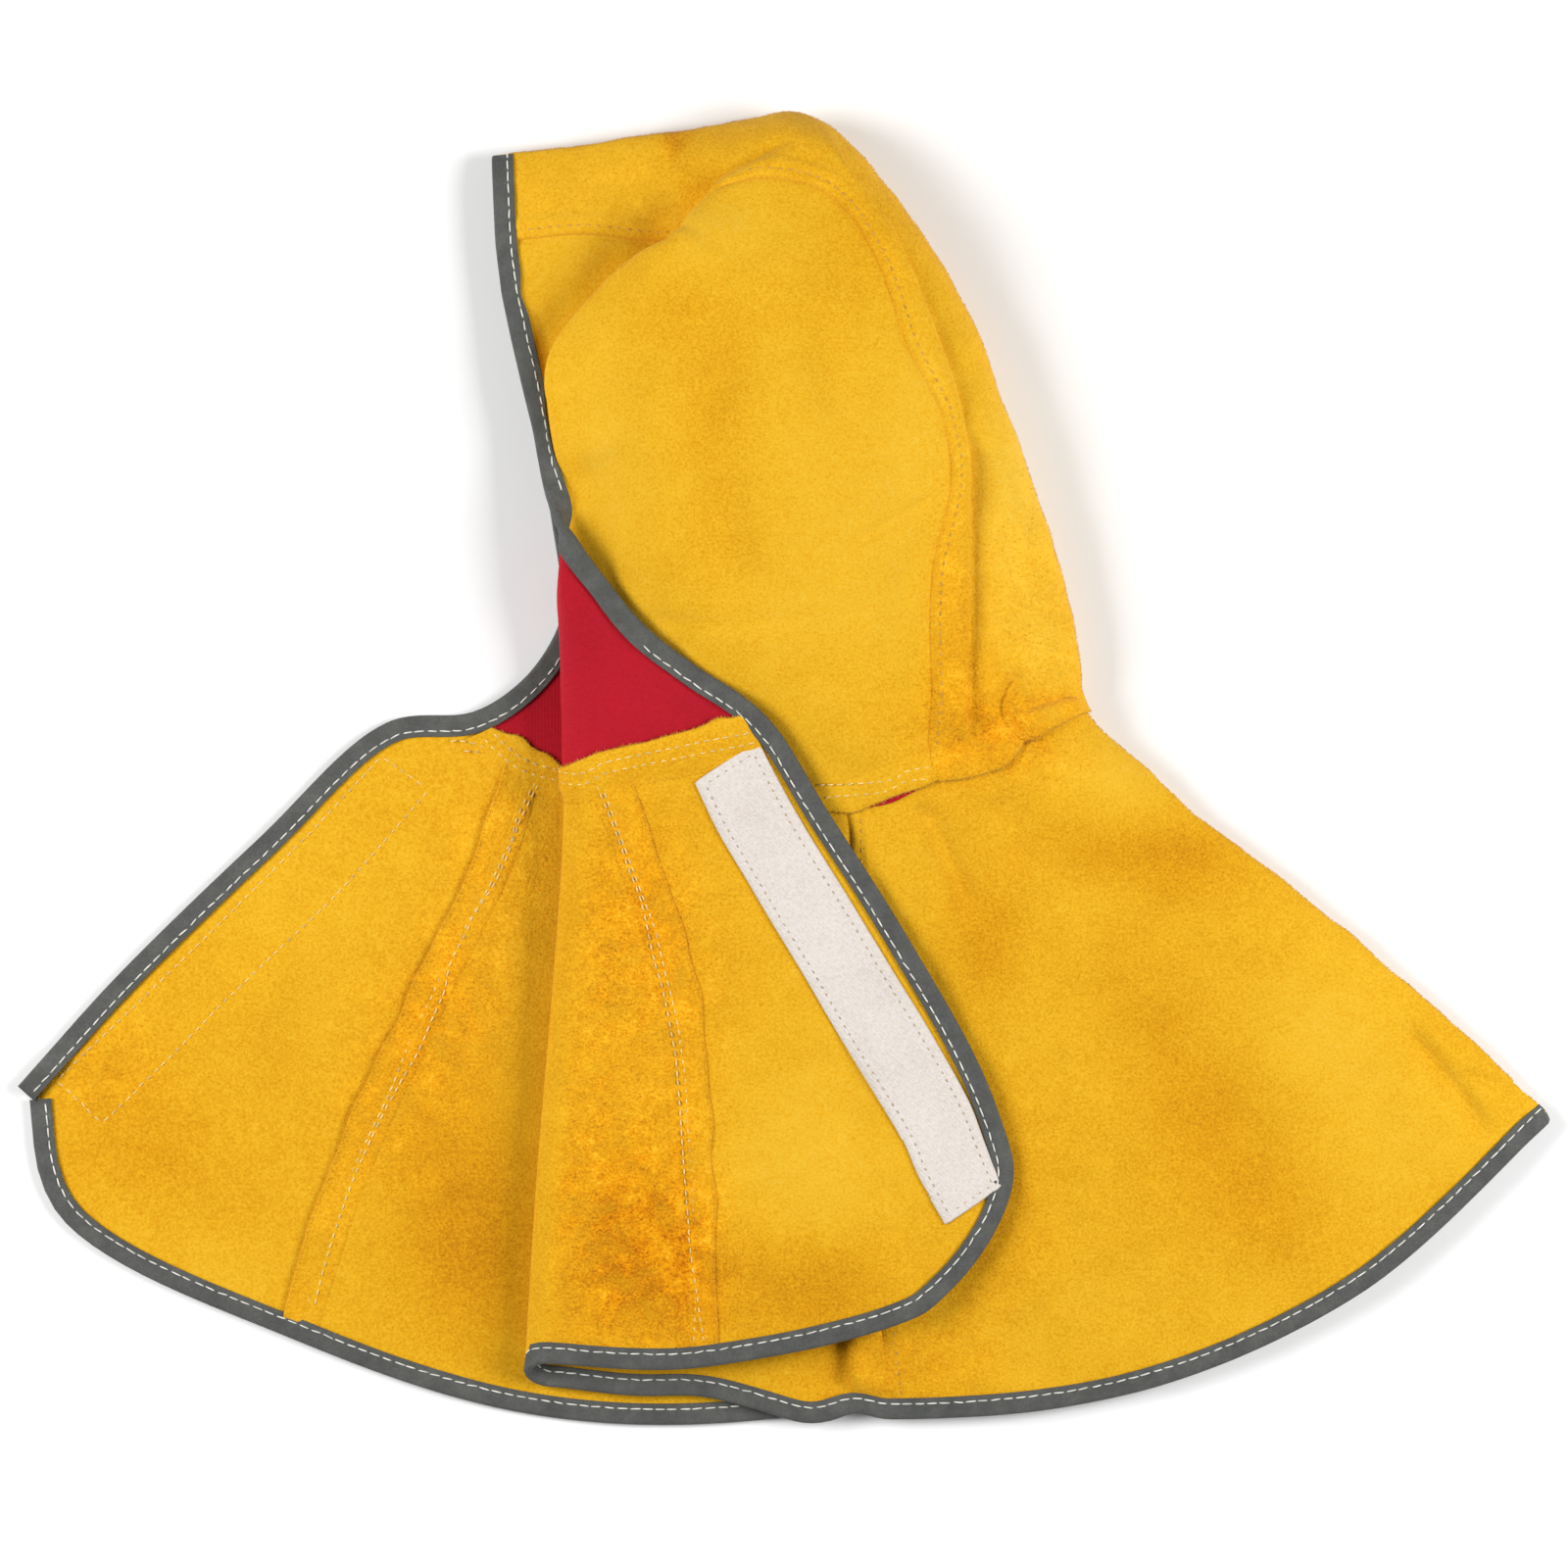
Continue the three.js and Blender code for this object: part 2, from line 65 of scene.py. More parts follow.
# Middle of the outline in the coordinates of the tables, which is the frame's origin
TABLE_MIDDLE = np.array([0.00026, 0.00697, 0.0])

# Heights of the leather's middle where it lies on the floor, and at a bound edge
FLOOR = LEATHER / 2
FLOOR_BOUND = 0.0026

# The turn of the crown strip and of the back fold starts this far in from the outline. There it has these
# shares of the height from the outline up to the panel above, and from the floor up to the outline.
RIM_INSET = 0.014
RIM_RISE = 0.75
RIM_FALL = 0.1
# Beside the turned-back roll the leather goes on in line with it for this many radii
ROLL_LEAD = 1.2
# Without a roll, the front border's points lie at these shares from the fold to the edge, and past the fold
BORDER_SHARES = (0.6, 0.45, 0.25)
PAST_FOLD = 0.15
# Height of the turned-back seam, as a share of the way from the roll's top to the edge
LAPEL_SHARE = 0.3

# Spacing of the surface's points on the side that shows and on the side that lies on the floor
NEAR_STEP = 0.0030
FAR_STEP = 0.0055
# The spacing holds for the stretch of a column or row that is longer than this percentage of them
ACROSS_PERCENTILE = 85
DOWN_PERCENTILE = 70

# Sections of the hood, from the forehead down to the neck. Each point is (x, y, z), or (x, y) on the floor.
#   edge   left edge of the face opening, which turns over from the row "upper_back" on
#   fold   where the front border starts to rise, or where the turned-back front starts to roll
#   roll   angle of that roll in degrees and its radius
#   flank, seam   left side panel, and its seam with the crown strip
#   crest  height of the side panel between those two
#   rim    outline of the crown strip
#   far    right edge of the face opening
# The neck row also has the seams of the cape that end there, which are explained below.
HOOD = [
    dict(name="forehead", edge=(-0.141, 0.247, 0.017), fold=(-0.142, 0.255, 0.017), roll=(0, 0),
         flank=(-0.143, 0.263, 0.017), crest=0.017, seam=(-0.144, 0.272, 0.017),
         rim=(-0.146, 0.316, 0.0095), far=(-0.140, 0.247)),
    dict(name="brow", edge=(-0.137, 0.228, 0.019), fold=(-0.126, 0.240, 0.020), roll=(0, 0),
         flank=(-0.114, 0.257, 0.020), crest=0.020, seam=(-0.104, 0.276, 0.020),
         rim=(-0.106, 0.321, 0.011), far=(-0.136, 0.228)),
    dict(name="hairline", edge=(-0.133, 0.211, 0.021), fold=(-0.113, 0.225, 0.023), roll=(0, 0),
         flank=(-0.082, 0.253, 0.025), crest=0.026, seam=(-0.055, 0.275, 0.025),
         rim=(-0.054, 0.328, 0.012), far=(-0.132, 0.211)),
    dict(name="fore_crown", edge=(-0.129, 0.194, 0.023), fold=(-0.115, 0.205, 0.025), roll=(0, 0),
         flank=(-0.079, 0.237, 0.039), crest=0.042, seam=(-0.036, 0.294, 0.038),
         rim=(-0.017, 0.334, 0.017), far=(-0.128, 0.194)),
    dict(name="crown", edge=(-0.125, 0.177, 0.024), fold=(-0.112, 0.185, 0.027), roll=(0, 0),
         flank=(-0.072, 0.212, 0.048), crest=0.052, seam=(-0.007, 0.302, 0.045),
         rim=(0.007, 0.337, 0.020), far=(-0.124, 0.177)),
    dict(name="back_crown", edge=(-0.122, 0.161, 0.025), fold=(-0.107, 0.167, 0.028), roll=(0, 0),
         flank=(-0.064, 0.190, 0.053), crest=0.058, seam=(0.021, 0.295, 0.048),
         rim=(0.034, 0.322, 0.020), far=(-0.120, 0.161)),
    dict(name="upper_back", edge=(-0.1175, 0.143, 0.030), fold=(-0.104, 0.147, 0.026), roll=(30, 0.008),
         flank=(-0.058, 0.168, 0.054), crest=0.061, seam=(0.045, 0.263, 0.050),
         rim=(0.064, 0.283, 0.020), far=(-0.118, 0.145)),
    dict(name="back", edge=(-0.105, 0.123, 0.039), fold=(-0.104, 0.120, 0.027), roll=(80, 0.007),
         flank=(-0.052, 0.136, 0.052), crest=0.061, seam=(0.062, 0.217, 0.050),
         rim=(0.094, 0.233, 0.020), far=(-0.115, 0.126)),
    dict(name="lower_back", edge=(-0.090, 0.102, 0.034), fold=(-0.105, 0.097, 0.021), roll=(140, 0.0075),
         flank=(-0.040, 0.104, 0.048), crest=0.058, seam=(0.078, 0.183, 0.048),
         rim=(0.113, 0.183, 0.019), far=(-0.112, 0.106)),
    dict(name="nape_top", edge=(-0.070, 0.078, 0.034), fold=(-0.103, 0.068, 0.0155), roll=(175, 0.008),
         flank=(-0.025, 0.069, 0.042), crest=0.053, seam=(0.082, 0.151, 0.045),
         rim=(0.128, 0.141, 0.018), far=(-0.111, 0.086)),
    dict(name="nape", edge=(-0.043, 0.057, 0.037), fold=(-0.102, 0.042, 0.013), roll=(180, 0.0085),
         flank=(-0.005, 0.037, 0.036), crest=0.047, seam=(0.074, 0.104, 0.041),
         rim=(0.141, 0.099, 0.017), far=(-0.119, 0.067)),
    dict(name="low_nape", edge=(-0.021, 0.043, 0.039), fold=(-0.101, 0.022, 0.0125), roll=(180, 0.009),
         flank=(0.016, 0.009, 0.031), crest=0.041, seam=(0.074, 0.049, 0.037),
         rim=(0.148, 0.059, 0.016), far=(-0.134, 0.049)),
    dict(name="neck", edge=(-0.006, 0.029, 0.040), lapel=(-0.087, 0.012), fold=(-0.101, 0.006, 0.0125),
         roll=(180, 0.009), flank=(0.031, -0.012, 0.027), crest=0.032, seam=(0.077, 0.003, 0.032),
         rim=(0.152, 0.037, 0.014), far_flank=(0.033, -0.007), far_front=(-0.128, 0.012),
         far=(-0.157, 0.035)),
]

# Sections of the cape, from below the neck down to the hem, with these columns as well:
#   lapel, flank           left seams: front to shoulder panel, and shoulder panel to back panel
#   far_flank, far_front   the same two seams on the right, lying on the floor
#   seam                   height of the back panel before it turns
#   bow, corner            how far the row bows out across the back, and at the front panels' round corners
#   lean                   how far the roll's top lies up the page from its bottom
CAPE = [
    dict(name="collar", edge=(0.019, -0.011, 0.034), lapel=(-0.074, -0.033), fold=(-0.102, -0.034, 0.010),
         roll=(180, 0.009), flank=(0.033, -0.054, 0.024), crest=0.028, seam=0.026,
         rim=(0.198, -0.006, 0.012), far_flank=(0.030, -0.052), far_front=(-0.142, -0.033),
         far=(-0.200, 0.030), bow=0.008, corner=0, lean=0),
    dict(name="shoulder", edge=(0.062, -0.079, 0.029), lapel=(-0.053, -0.104), fold=(-0.108, -0.110, 0.0075),
         roll=(180, 0.0085), flank=(0.037, -0.141, 0.017), crest=0.022, seam=0.020,
         rim=(0.264, -0.059, 0.010), far_flank=(0.024, -0.143), far_front=(-0.178, -0.109),
         far=(-0.264, -0.028), bow=0.018, corner=0, lean=0),
    dict(name="drape", edge=(0.099, -0.146, 0.025), lapel=(-0.046, -0.193), fold=(-0.116, -0.201, 0.0065),
         roll=(180, 0.008), flank=(0.045, -0.232, 0.012), crest=0.016, seam=0.014,
         rim=(0.336, -0.121, 0.008), far_flank=(0.015, -0.235), far_front=(-0.218, -0.198),
         far=(-0.336, -0.098), bow=0.030, corner=0.006, lean=0.004),
    dict(name="hem", edge=(0.1185, -0.2005, 0.022), lapel=(-0.043, -0.292), fold=(-0.123, -0.302, 0.008),
         roll=(180, 0.007), flank=(0.054, -0.319, 0.009), crest=0.0095, seam=0.011,
         rim=(0.387, -0.168, 0.007), far_flank=(0.006, -0.318), far_front=(-0.245, -0.280),
         far=(-0.381, -0.148), bow=0.044, corner=0.038, lean=0.012),
]

# Columns of every section, in order round the garment
COLUMNS = ["edge", "corner", "lapel", "fold_over", "fold_top", "fold_side", "fold_low", "fold_under", "flank",
           "crest", "seam", "rim_top", "rim", "rim_low", "far_seam", "far_flank", "far_mid", "far_front",
           "far_corner", "far_edge"]
ROWS = [row["name"] for row in HOOD + CAPE]

# Where the lapel column of the unrolled front border lies between its edge and the next column
BORDER_LAPEL_SHARE = 0.6
# Where the hidden columns of the hood's right side lie between its seam and its face edge
FAR_SHARES = dict(far_flank=0.2, far_mid=0.55, far_front=0.87, far_corner=0.94)
# Where the cape's hidden back column lies between its right side seam and the outline
FAR_SEAM_SHARE = 0.6
# Where the corner column lies between a front edge and its seam
CORNER_SHARE = 0.3
# The right front's corner is rounder than the left one
FAR_CORNER_BOW = 1.2
# The hem's right half bows out a little less than its left half, which hides it
FAR_BOW = 0.88


# Creases of the leather, drawn as paths of photograph pixels on one layer of the folded garment.
#   valley, width   depth of the line itself, or its height where it is below zero, and its half width
#   left, right     height of the leather on each side of the line, walking along the path
#   reach           how far from the line those heights fade out
#   overhang        how far the left side leans over the right side, or the other way where it is below zero
def crease(layer, valley, width, path, left=0.0, right=0.0, reach=0.010, overhang=0.0):
    return dict(layer=layer, valley=valley, width=width, path=path, left=left, right=right, reach=reach,
                overhang=overhang)


CREASES = [
    crease("near", 0.0042, 0.0028, left=0.0085, right=-0.0052, overhang=0.0036, reach=0.027,
           path=[(716, 190), (699, 238), (690, 250), (660, 270), (615, 305), (580, 342), (565, 375),
           (561, 410), (567, 470), (577, 505)]),
    crease("near", 0.0036, 0.0036, left=-0.0010, right=0.0022, overhang=-0.0020, reach=0.014,
           path=[(694, 240), (712, 214), (738, 186), (776, 166), (812, 144)]),
    crease("near", 0.0022, 0.009, path=[(560, 205), (620, 192), (668, 180), (682, 150), (676, 126)]),
    crease("near", 0.0014, 0.0020, left=-0.0030, right=0.0022, overhang=-0.0028, reach=0.013,
           path=[(838, 118), (859, 168), (882, 203), (910, 245), (936, 303), (955, 352), (974, 410),
           (982, 455)]),
    crease("near", 0.0016, 0.0019, left=-0.0046, right=0.0028, overhang=-0.0030, reach=0.016,
           path=[(978, 420), (984, 480), (985, 560), (984, 640), (983, 720), (986, 770)]),
    crease("near", 0.0022, 0.006, path=[(985, 775), (1003, 752), (1008, 730)]),
    crease("near", 0.0013, 0.0045, left=0.0006, path=[(590, 440), (602, 500), (616, 550), (632, 606)]),
    crease("near", 0.0022, 0.0036, left=0.0014, right=-0.0012, overhang=0.0010, reach=0.016,
           path=[(962, 507), (920, 533), (850, 572)]),
    crease("near", 0.0011, 0.0035, path=[(650, 632), (745, 638), (840, 630)]),
    crease("near", 0.0042, 0.013, path=[(800, 270), (742, 375), (712, 450), (675, 570)]),
    crease("near", 0.0034, 0.011, path=[(758, 430), (740, 530), (748, 640)]),
    crease("near", 0.0036, 0.016, path=[(830, 300), (850, 380), (835, 450)]),
    crease("near", 0.0056, 0.0045, left=0.0026, right=-0.0014, overhang=0.0030, reach=0.012,
           path=[(1046, 684), (1030, 708), (1026, 728), (1040, 748), (1058, 762)]),
    crease("near", 0.0034, 0.0028, left=-0.0014, right=0.0036, overhang=-0.0028, path=[(1034, 729),
           (1066, 722), (1104, 712)]),
    crease("near", 0.0050, 0.0065, left=-0.0012, right=0.0016, reach=0.020, path=[(936, 816), (962, 872),
           (994, 944)]),
    crease("near", 0.0028, 0.0075, reach=0.012, path=[(1012, 806), (1030, 850), (1046, 894)]),
    crease("near", 0.0044, 0.014, left=0.0010, reach=0.018, path=[(1140, 790), (1230, 868), (1335, 945)]),
    crease("near", 0.0055, 0.030, path=[(1150, 960), (1230, 1110), (1310, 1270)]),
    crease("near", 0.0050, 0.0048, left=0.0014, right=-0.0010, reach=0.016, path=[(1425, 1035),
           (1468, 1090), (1495, 1125), (1520, 1165)]),
    crease("near", 0.0010, 0.0018, left=0.0012, right=-0.0008, reach=0.008, path=[(1485, 1090),
           (1518, 1101), (1548, 1110)]),
    crease("near", 0.0012, 0.0020, left=0.0050, right=-0.0034, overhang=0.0032, reach=0.020,
           path=[(866, 1270), (868, 1330), (868, 1375), (870, 1410), (871, 1442)]),
    crease("far", -0.0022, 0.005, reach=0.012, path=[(405, 1238), (455, 1212), (512, 1184)]),
    crease("far", -0.0040, 0.020, path=[(330, 900), (280, 1010), (200, 1120)]),
    crease("far", -0.0030, 0.016, path=[(440, 1080), (400, 1200), (380, 1330)]),
    crease("lapel", 0.0036, 0.018, path=[(830, 980), (860, 1110), (850, 1240)]),
    crease("lapel", 0.0026, 0.010, path=[(590, 1010), (575, 1150), (570, 1300)]),
]

# Waves of the near layer's hem, as photograph pixels: place across the page, half width, and how far up it
HEM_WAVES = [(715, 50, 9), (822, 32, -8), (874, 17, 7)]
HEM_WAVE_REACH = 0.045

# Patches of the suede, as photograph pixels on one layer: where the nap is rough, and where it is paler or
# deeper, partly as the suede's own tone and partly as painted light and painted shade, marked below. The
# columns are layer, centre, radii, roughness of the nap, and tone with painted light and shade.
PATCHES = [
    ("lapel", (640, 940), (75, 95), 0.75, 0.0),
    ("lapel", (655, 1110), (70, 120), 0.45, 0.0),
    ("lapel", (660, 1275), (72, 95), 1.0, -0.12),
    ("lapel", (590, 1200), (35, 160), 0.35, 0.0),
    ("lapel", (800, 1200), (150, 130), 0.0, 0.10),
    ("far", (520, 880), (55, 100), 0.6, 0.10),
    ("far", (455, 1030), (65, 75), 0.6, 0.0),
    ("far", (400, 1130), (60, 80), 0.35, 0.0),
    ("far", (110, 1090), (60, 60), 0.3, -0.05),
    # Painted shade: the next five patches darken the leather along the brow fold, from its start by the crown
    # strip
    ("near", (672, 255), (24, 14), 0.0, -0.16),
    ("near", (640, 276), (24, 16), 0.0, -0.14),
    ("near", (606, 302), (22, 18), 0.0, -0.10),
    ("near", (576, 338), (16, 24), 0.0, -0.07),
    ("near", (716, 196), (22, 22), 0.0, -0.16),
    ("near", (690, 140), (14, 26), 0.2, -0.18),
    # Painted shade: the next three patches darken the hood's dents
    ("near", (690, 330), (60, 60), 0.0, -0.08),
    ("near", (735, 440), (45, 110), 0.0, -0.12),
    ("near", (745, 560), (45, 60), 0.0, -0.08),
    ("near", (870, 250), (40, 50), 0.0, -0.08),
    # Painted light: the next three patches pale the hood's flanks and the top of its bulge
    ("near", (615, 470), (34, 90), 0.0, 0.10),
    ("near", (930, 430), (40, 110), 0.0, 0.08),
    ("near", (740, 235), (60, 50), 0.0, 0.12),
    # Painted light: the next two patches pale the back of the crown strip, which faces the right lamp
    ("near", (1045, 500), (55, 130), 0.0, 0.26),
    ("near", (1065, 660), (45, 70), 0.0, 0.16),
    # Painted light: the next three patches pale the cape's right part and the top of its drape, a painted
    # highlight
    ("near", (1440, 1130), (120, 90), 0.0, 0.07),
    ("near", (1350, 1040), (85, 65), 0.0, 0.09),
    ("near", (1120, 775), (70, 40), 0.0, 0.10),
    # Painted shade: the next five patches darken a diagonal band down the cape's drape
    ("near", (1140, 985), (62, 66), 0.0, -0.09),
    ("near", (1182, 1062), (62, 66), 0.0, -0.09),
    ("near", (1228, 1138), (62, 66), 0.0, -0.10),
    ("near", (1275, 1205), (62, 66), 0.0, -0.10),
    ("near", (1318, 1268), (62, 66), 0.0, -0.08),
    # Painted shade: the next three patches darken the cape beside the binding and under the outline below the
    # neck
    ("near", (1005, 955), (50, 70), 0.0, -0.18),
    ("near", (1090, 865), (60, 40), 0.0, -0.12),
    ("near", (1190, 872), (70, 38), 0.0, -0.20),
    # Painted shadow: the next patch darkens the right front where the turned-back roll shades it
    ("far", (485, 1250), (70, 130), 0.0, -0.26),
    ("far", (200, 1190), (120, 70), 0.0, -0.10),
    ("lapel", (830, 1310), (110, 60), 0.0, -0.24),
    ("near", (968, 620), (22, 150), 0.35, -0.02),
    ("near", (1025, 745), (75, 50), 0.7, -0.05),
    ("near", (1060, 600), (40, 90), 0.35, -0.05),
    ("near", (900, 1380), (90, 60), 0.3, -0.05),
    ("near", (1010, 1240), (60, 110), 0.2, -0.10),
]

# Rows of stitches that wander from their seams, as photograph pixels on one layer. The columns are layer,
# height above the leather, and path.
STITCH_ROWS = [
    ("lapel", 0.0003, [(617, 805), (637, 860), (646, 885), (657, 915), (669, 948), (679, 990), (688, 1026),
     (693, 1051), (699, 1090), (703, 1155), (706, 1200), (710, 1290), (710, 1330), (708, 1377)]),
    ("lapel", 0.0007, [(609, 797), (633, 857), (642, 885), (653, 912), (659, 935), (667, 975), (675, 1002),
     (681, 1028), (685, 1051), (690, 1080), (694, 1128), (699, 1200), (706, 1280), (713, 1330),
     (719, 1372)]),
    ("far", 0.0007, [(553, 786), (543, 803), (526, 837), (521, 858), (512, 876), (499, 904), (487, 925),
     (464, 964), (447, 1000), (437, 1023), (422, 1052), (412, 1077), (395, 1120), (350, 1215), (322, 1295),
     (312, 1340)]),
    ("far", 0.0007, [(556, 788), (546, 806), (530, 838), (515, 878), (503, 903), (480, 939), (476, 950),
     (459, 983), (452, 1013), (441, 1038), (426, 1073), (405, 1110), (360, 1205), (330, 1295),
     (319, 1343)]),
    ("far", 0.0016, [(456, 756), (476, 757), (497, 764)]),
    ("far", 0.0016, [(470, 766), (493, 768)]),
    ("near", 0.0010, [(832, 800), (880, 798), (911, 794), (925, 786), (954, 782)]),
    ("near", 0.0014, [(838, 813), (880, 809), (905, 806), (922, 797), (951, 794)]),
]


def metres(places):
    """Photograph pixels as places in the tables' coordinates."""
    pixels = np.array(places, float)
    return (pixels - PHOTO_SIDE / 2) * (PIXEL, -PIXEL)


def page_x(pixel):
    """A photograph pixel's place across the page, in the tables' coordinates."""
    return (pixel - PHOTO_SIDE / 2) * PIXEL


def smoothstep(low, high, value):
    """A smooth step from 0 at low to 1 at high, which may be below low."""
    share = np.clip((value - low) / (high - low), 0, 1)
    return share * share * (3 - 2 * share)


def unit(vectors):
    return vectors / np.maximum(np.linalg.norm(vectors, axis=-1, keepdims=True), 1e-12)


# The control net, one section for each row

def point(place):
    """A point from a table, on the floor where it has no height."""
    return np.array(place if len(place) == 3 else (*place, FLOOR), float)


def between(a, b, share):
    return a + (b - a) * share


def bowed(a, b, share, bow):
    """The point at a share of the way from a to b, pushed sideways in plan by a parabola of height bow."""
    along = unit(np.array([b[0] - a[0], b[1] - a[1], 0]))
    return between(a, b, share) + np.array([along[1], -along[0], 0]) * 4 * share * (1 - share) * bow


def at_height(place, height):
    return np.array([place[0], place[1], height])


def lapel_point(row):
    """The turned-back seam of a section, between the heights of the roll's top and of the edge."""
    top = row["fold"][2] + 2 * row["roll"][1]
    return at_height(row["lapel"], between(top, row["edge"][2], LAPEL_SHARE))


def rolled(row):
    """The roll of the turned-back front, from over it to under it: an arc in the upright plane that holds the
    fold and runs away from the flank. Without a roll the points lie evenly in the front border."""
    low = point(row["fold"])
    flank = point(row["flank"])
    end = lapel_point(row) if "lapel" in row else point(row["edge"])
    degrees, radius = row["roll"]
    if not degrees:
        return [*(between(low, end, share) for share in BORDER_SHARES), low, between(low, flank, PAST_FOLD)]
    away = unit(at_height(low - flank, 0))

    def on_arc(share):
        angle = math.radians(degrees * share)
        risen = 1 - math.cos(angle)
        rise = np.array([0, row.get("lean", 0) * risen / 2, radius * risen])
        return low + away * radius * math.sin(angle) + rise

    def lead(start, stop):
        return between(start, stop, min(0.5, ROLL_LEAD * radius / np.linalg.norm(stop - start)))

    top = on_arc(1)
    under = lead(low, flank)
    under[2] = between(low[2], under[2], 0.5)
    return [lead(top, end), top, on_arc(0.5), low, under]


def beside_rim(rim, upper, lower):
    """The points above and below the outline, towards the panels that it joins."""
    top = between(rim, upper, min(1, RIM_INSET / np.linalg.norm(upper - rim)))
    top[2] = between(rim[2], upper[2], RIM_RISE)
    low = between(rim, lower, min(1, RIM_INSET / np.linalg.norm(lower - rim)))
    low[2] = between(lower[2], rim[2], RIM_FALL)
    return top, low


def hood_section(row, is_bound):
    """The points of a section of the head part, in the order of COLUMNS."""
    floor = FLOOR_BOUND if is_bound else FLOOR
    edge, flank, seam, rim = (point(row[name]) for name in ("edge", "flank", "seam", "rim"))
    turn = rolled(row)
    far_seam = at_height(seam, floor)
    far_edge = at_height(row["far"], FLOOR_BOUND)
    rim_top, rim_low = beside_rim(rim, seam, far_seam)
    crest = at_height(between(flank, seam, 0.5), row["crest"])
    lapel = lapel_point(row) if "lapel" in row else between(edge, turn[0], BORDER_LAPEL_SHARE)
    far = {name: between(far_seam, far_edge, share) for name, share in FAR_SHARES.items()}
    if "far_front" in row:
        far["far_flank"] = point(row["far_flank"])
        far["far_front"] = at_height(row["far_front"], FLOOR_BOUND)
        far["far_mid"] = between(far["far_flank"], far["far_front"], 0.5)
        far["far_corner"] = between(far_edge, far["far_front"], CORNER_SHARE)
    return [edge, between(edge, lapel, CORNER_SHARE), lapel, *turn, flank, crest, seam, rim_top, rim, rim_low,
            far_seam, far["far_flank"], far["far_mid"], far["far_front"], far["far_corner"], far_edge]


def cape_section(row, is_bound):
    """The points of a section of the cape, in the order of COLUMNS."""
    floor = FLOOR_BOUND if is_bound else FLOOR
    edge, flank, rim = (point(row[name]) for name in ("edge", "flank", "rim"))
    lapel = lapel_point(row)
    crest = at_height(bowed(flank, rim, 1 / 3, row["bow"]), row["crest"])
    seam = at_height(bowed(flank, rim, 2 / 3, row["bow"]), row["seam"])
    far_flank = at_height(row["far_flank"], floor)
    far_seam = bowed(far_flank, at_height(rim, floor), FAR_SEAM_SHARE, FAR_BOW * row["bow"])
    rim_top, rim_low = beside_rim(rim, seam, far_seam)
    far_front = at_height(row["far_front"], FLOOR_BOUND)
    far_mid = at_height(bowed(far_front, far_flank, 0.5, row["corner"] / 2), floor)
    far_edge = at_height(row["far"], FLOOR_BOUND)
    far_corner = bowed(far_edge, far_front, CORNER_SHARE, FAR_CORNER_BOW * row["corner"])
    return [edge, bowed(edge, lapel, CORNER_SHARE, -row["corner"]), lapel, *rolled(row), flank, crest, seam,
            rim_top, rim, rim_low, far_seam, far_flank, far_mid, far_front, far_corner, far_edge]


# The smooth surface, as a grid of points with their outward normals

def spline(points, at):
    """Points of a centripetal Catmull-Rom curve through points, at places counted in stretches."""
    ends = 2 * points[0] - points[1], 2 * points[-1] - points[-2]
    held = np.concatenate([ends[:1], points, ends[1:]])
    stretch = np.clip(np.floor(at).astype(int), 0, len(points) - 2)
    share = (at - stretch).reshape((-1,) + (1,) * (points.ndim - 1))
    a, b, c, d = (held[stretch + k] for k in range(4))
    ab, bc, cd = (np.sqrt(np.linalg.norm(q - p, axis=-1, keepdims=True)) + 1e-9
                  for p, q in ((a, b), (b, c), (c, d)))
    leave = ((b - a) / ab - (c - a) / (ab + bc) + (c - b) / bc) * bc
    arrive = ((c - b) / bc - (d - b) / (bc + cd) + (d - c) / cd) * bc
    square, cube = share**2, share**3
    return ((2 * cube - 3 * square + 1) * b + (cube - 2 * square + share) * leave
            + (3 * square - 2 * cube) * c + (cube - square) * arrive)


def spread(lengths, steps):
    """Places along stretches of these lengths, about a step apart, and the index of each stretch's start."""
    places, starts = [], []
    for stretch, (length, step) in enumerate(zip(lengths, steps)):
        count = max(1, math.ceil(length / step))
        starts.append(len(places))
        places.extend(stretch + k / count for k in range(count))
    starts.append(len(places))
    return np.array(places + [len(lengths)]), starts


def normals_of(points):
    """Outward normals of a grid of points."""
    across = np.gradient(points, axis=1)
    down = np.gradient(points, axis=0)
    return unit(np.cross(down, across))


def raised(points, floor):
    """The same points, none of them below the floor."""
    points[..., 2] = np.maximum(points[..., 2], floor)
    return points


# Sections at each end whose points on the floor have the height of a bound edge
BOUND_SECTIONS = 2
net = np.array(
    [hood_section(row, index < BOUND_SECTIONS) for index, row in enumerate(HOOD)]
    + [cape_section(row, index >= len(CAPE) - BOUND_SECTIONS) for index, row in enumerate(CAPE)])
stretch_lengths = np.linalg.norm(np.diff(net, axis=1), axis=-1)
row_lengths = np.linalg.norm(np.diff(net, axis=0), axis=-1)
far_start = COLUMNS.index("rim_low")
column_steps = [NEAR_STEP if k < far_start else FAR_STEP for k in range(len(COLUMNS) - 1)]
across_places, column_starts = spread(np.percentile(stretch_lengths, ACROSS_PERCENTILE, axis=0), column_steps)
row_steps = [NEAR_STEP] * (len(ROWS) - 1)
down_places, row_starts = spread(np.percentile(row_lengths, DOWN_PERCENTILE, axis=1), row_steps)
COLUMN = dict(zip(COLUMNS, column_starts))
ROW = dict(zip(ROWS, row_starts))

sections = spline(net.transpose(1, 0, 2), across_places).transpose(1, 0, 2)
for bound in (0, -1):
    raised(sections[bound], FLOOR_BOUND)
smooth_skin = raised(spline(sections, down_places), FLOOR)
row_count, column_count = smooth_skin.shape[:2]

# The left front's lower corner is rounded over this many grid points each way, most on the outermost line
CORNER_REACH = 16
CORNER_LINES = 12
CORNER_PASSES = 50


def softened(values, passes):
    """The same line with each point drawn towards its neighbours, ends held."""
    for _ in range(passes):
        values[1:-1] = 0.25 * values[:-2] + 0.5 * values[1:-1] + 0.25 * values[2:]
    return values


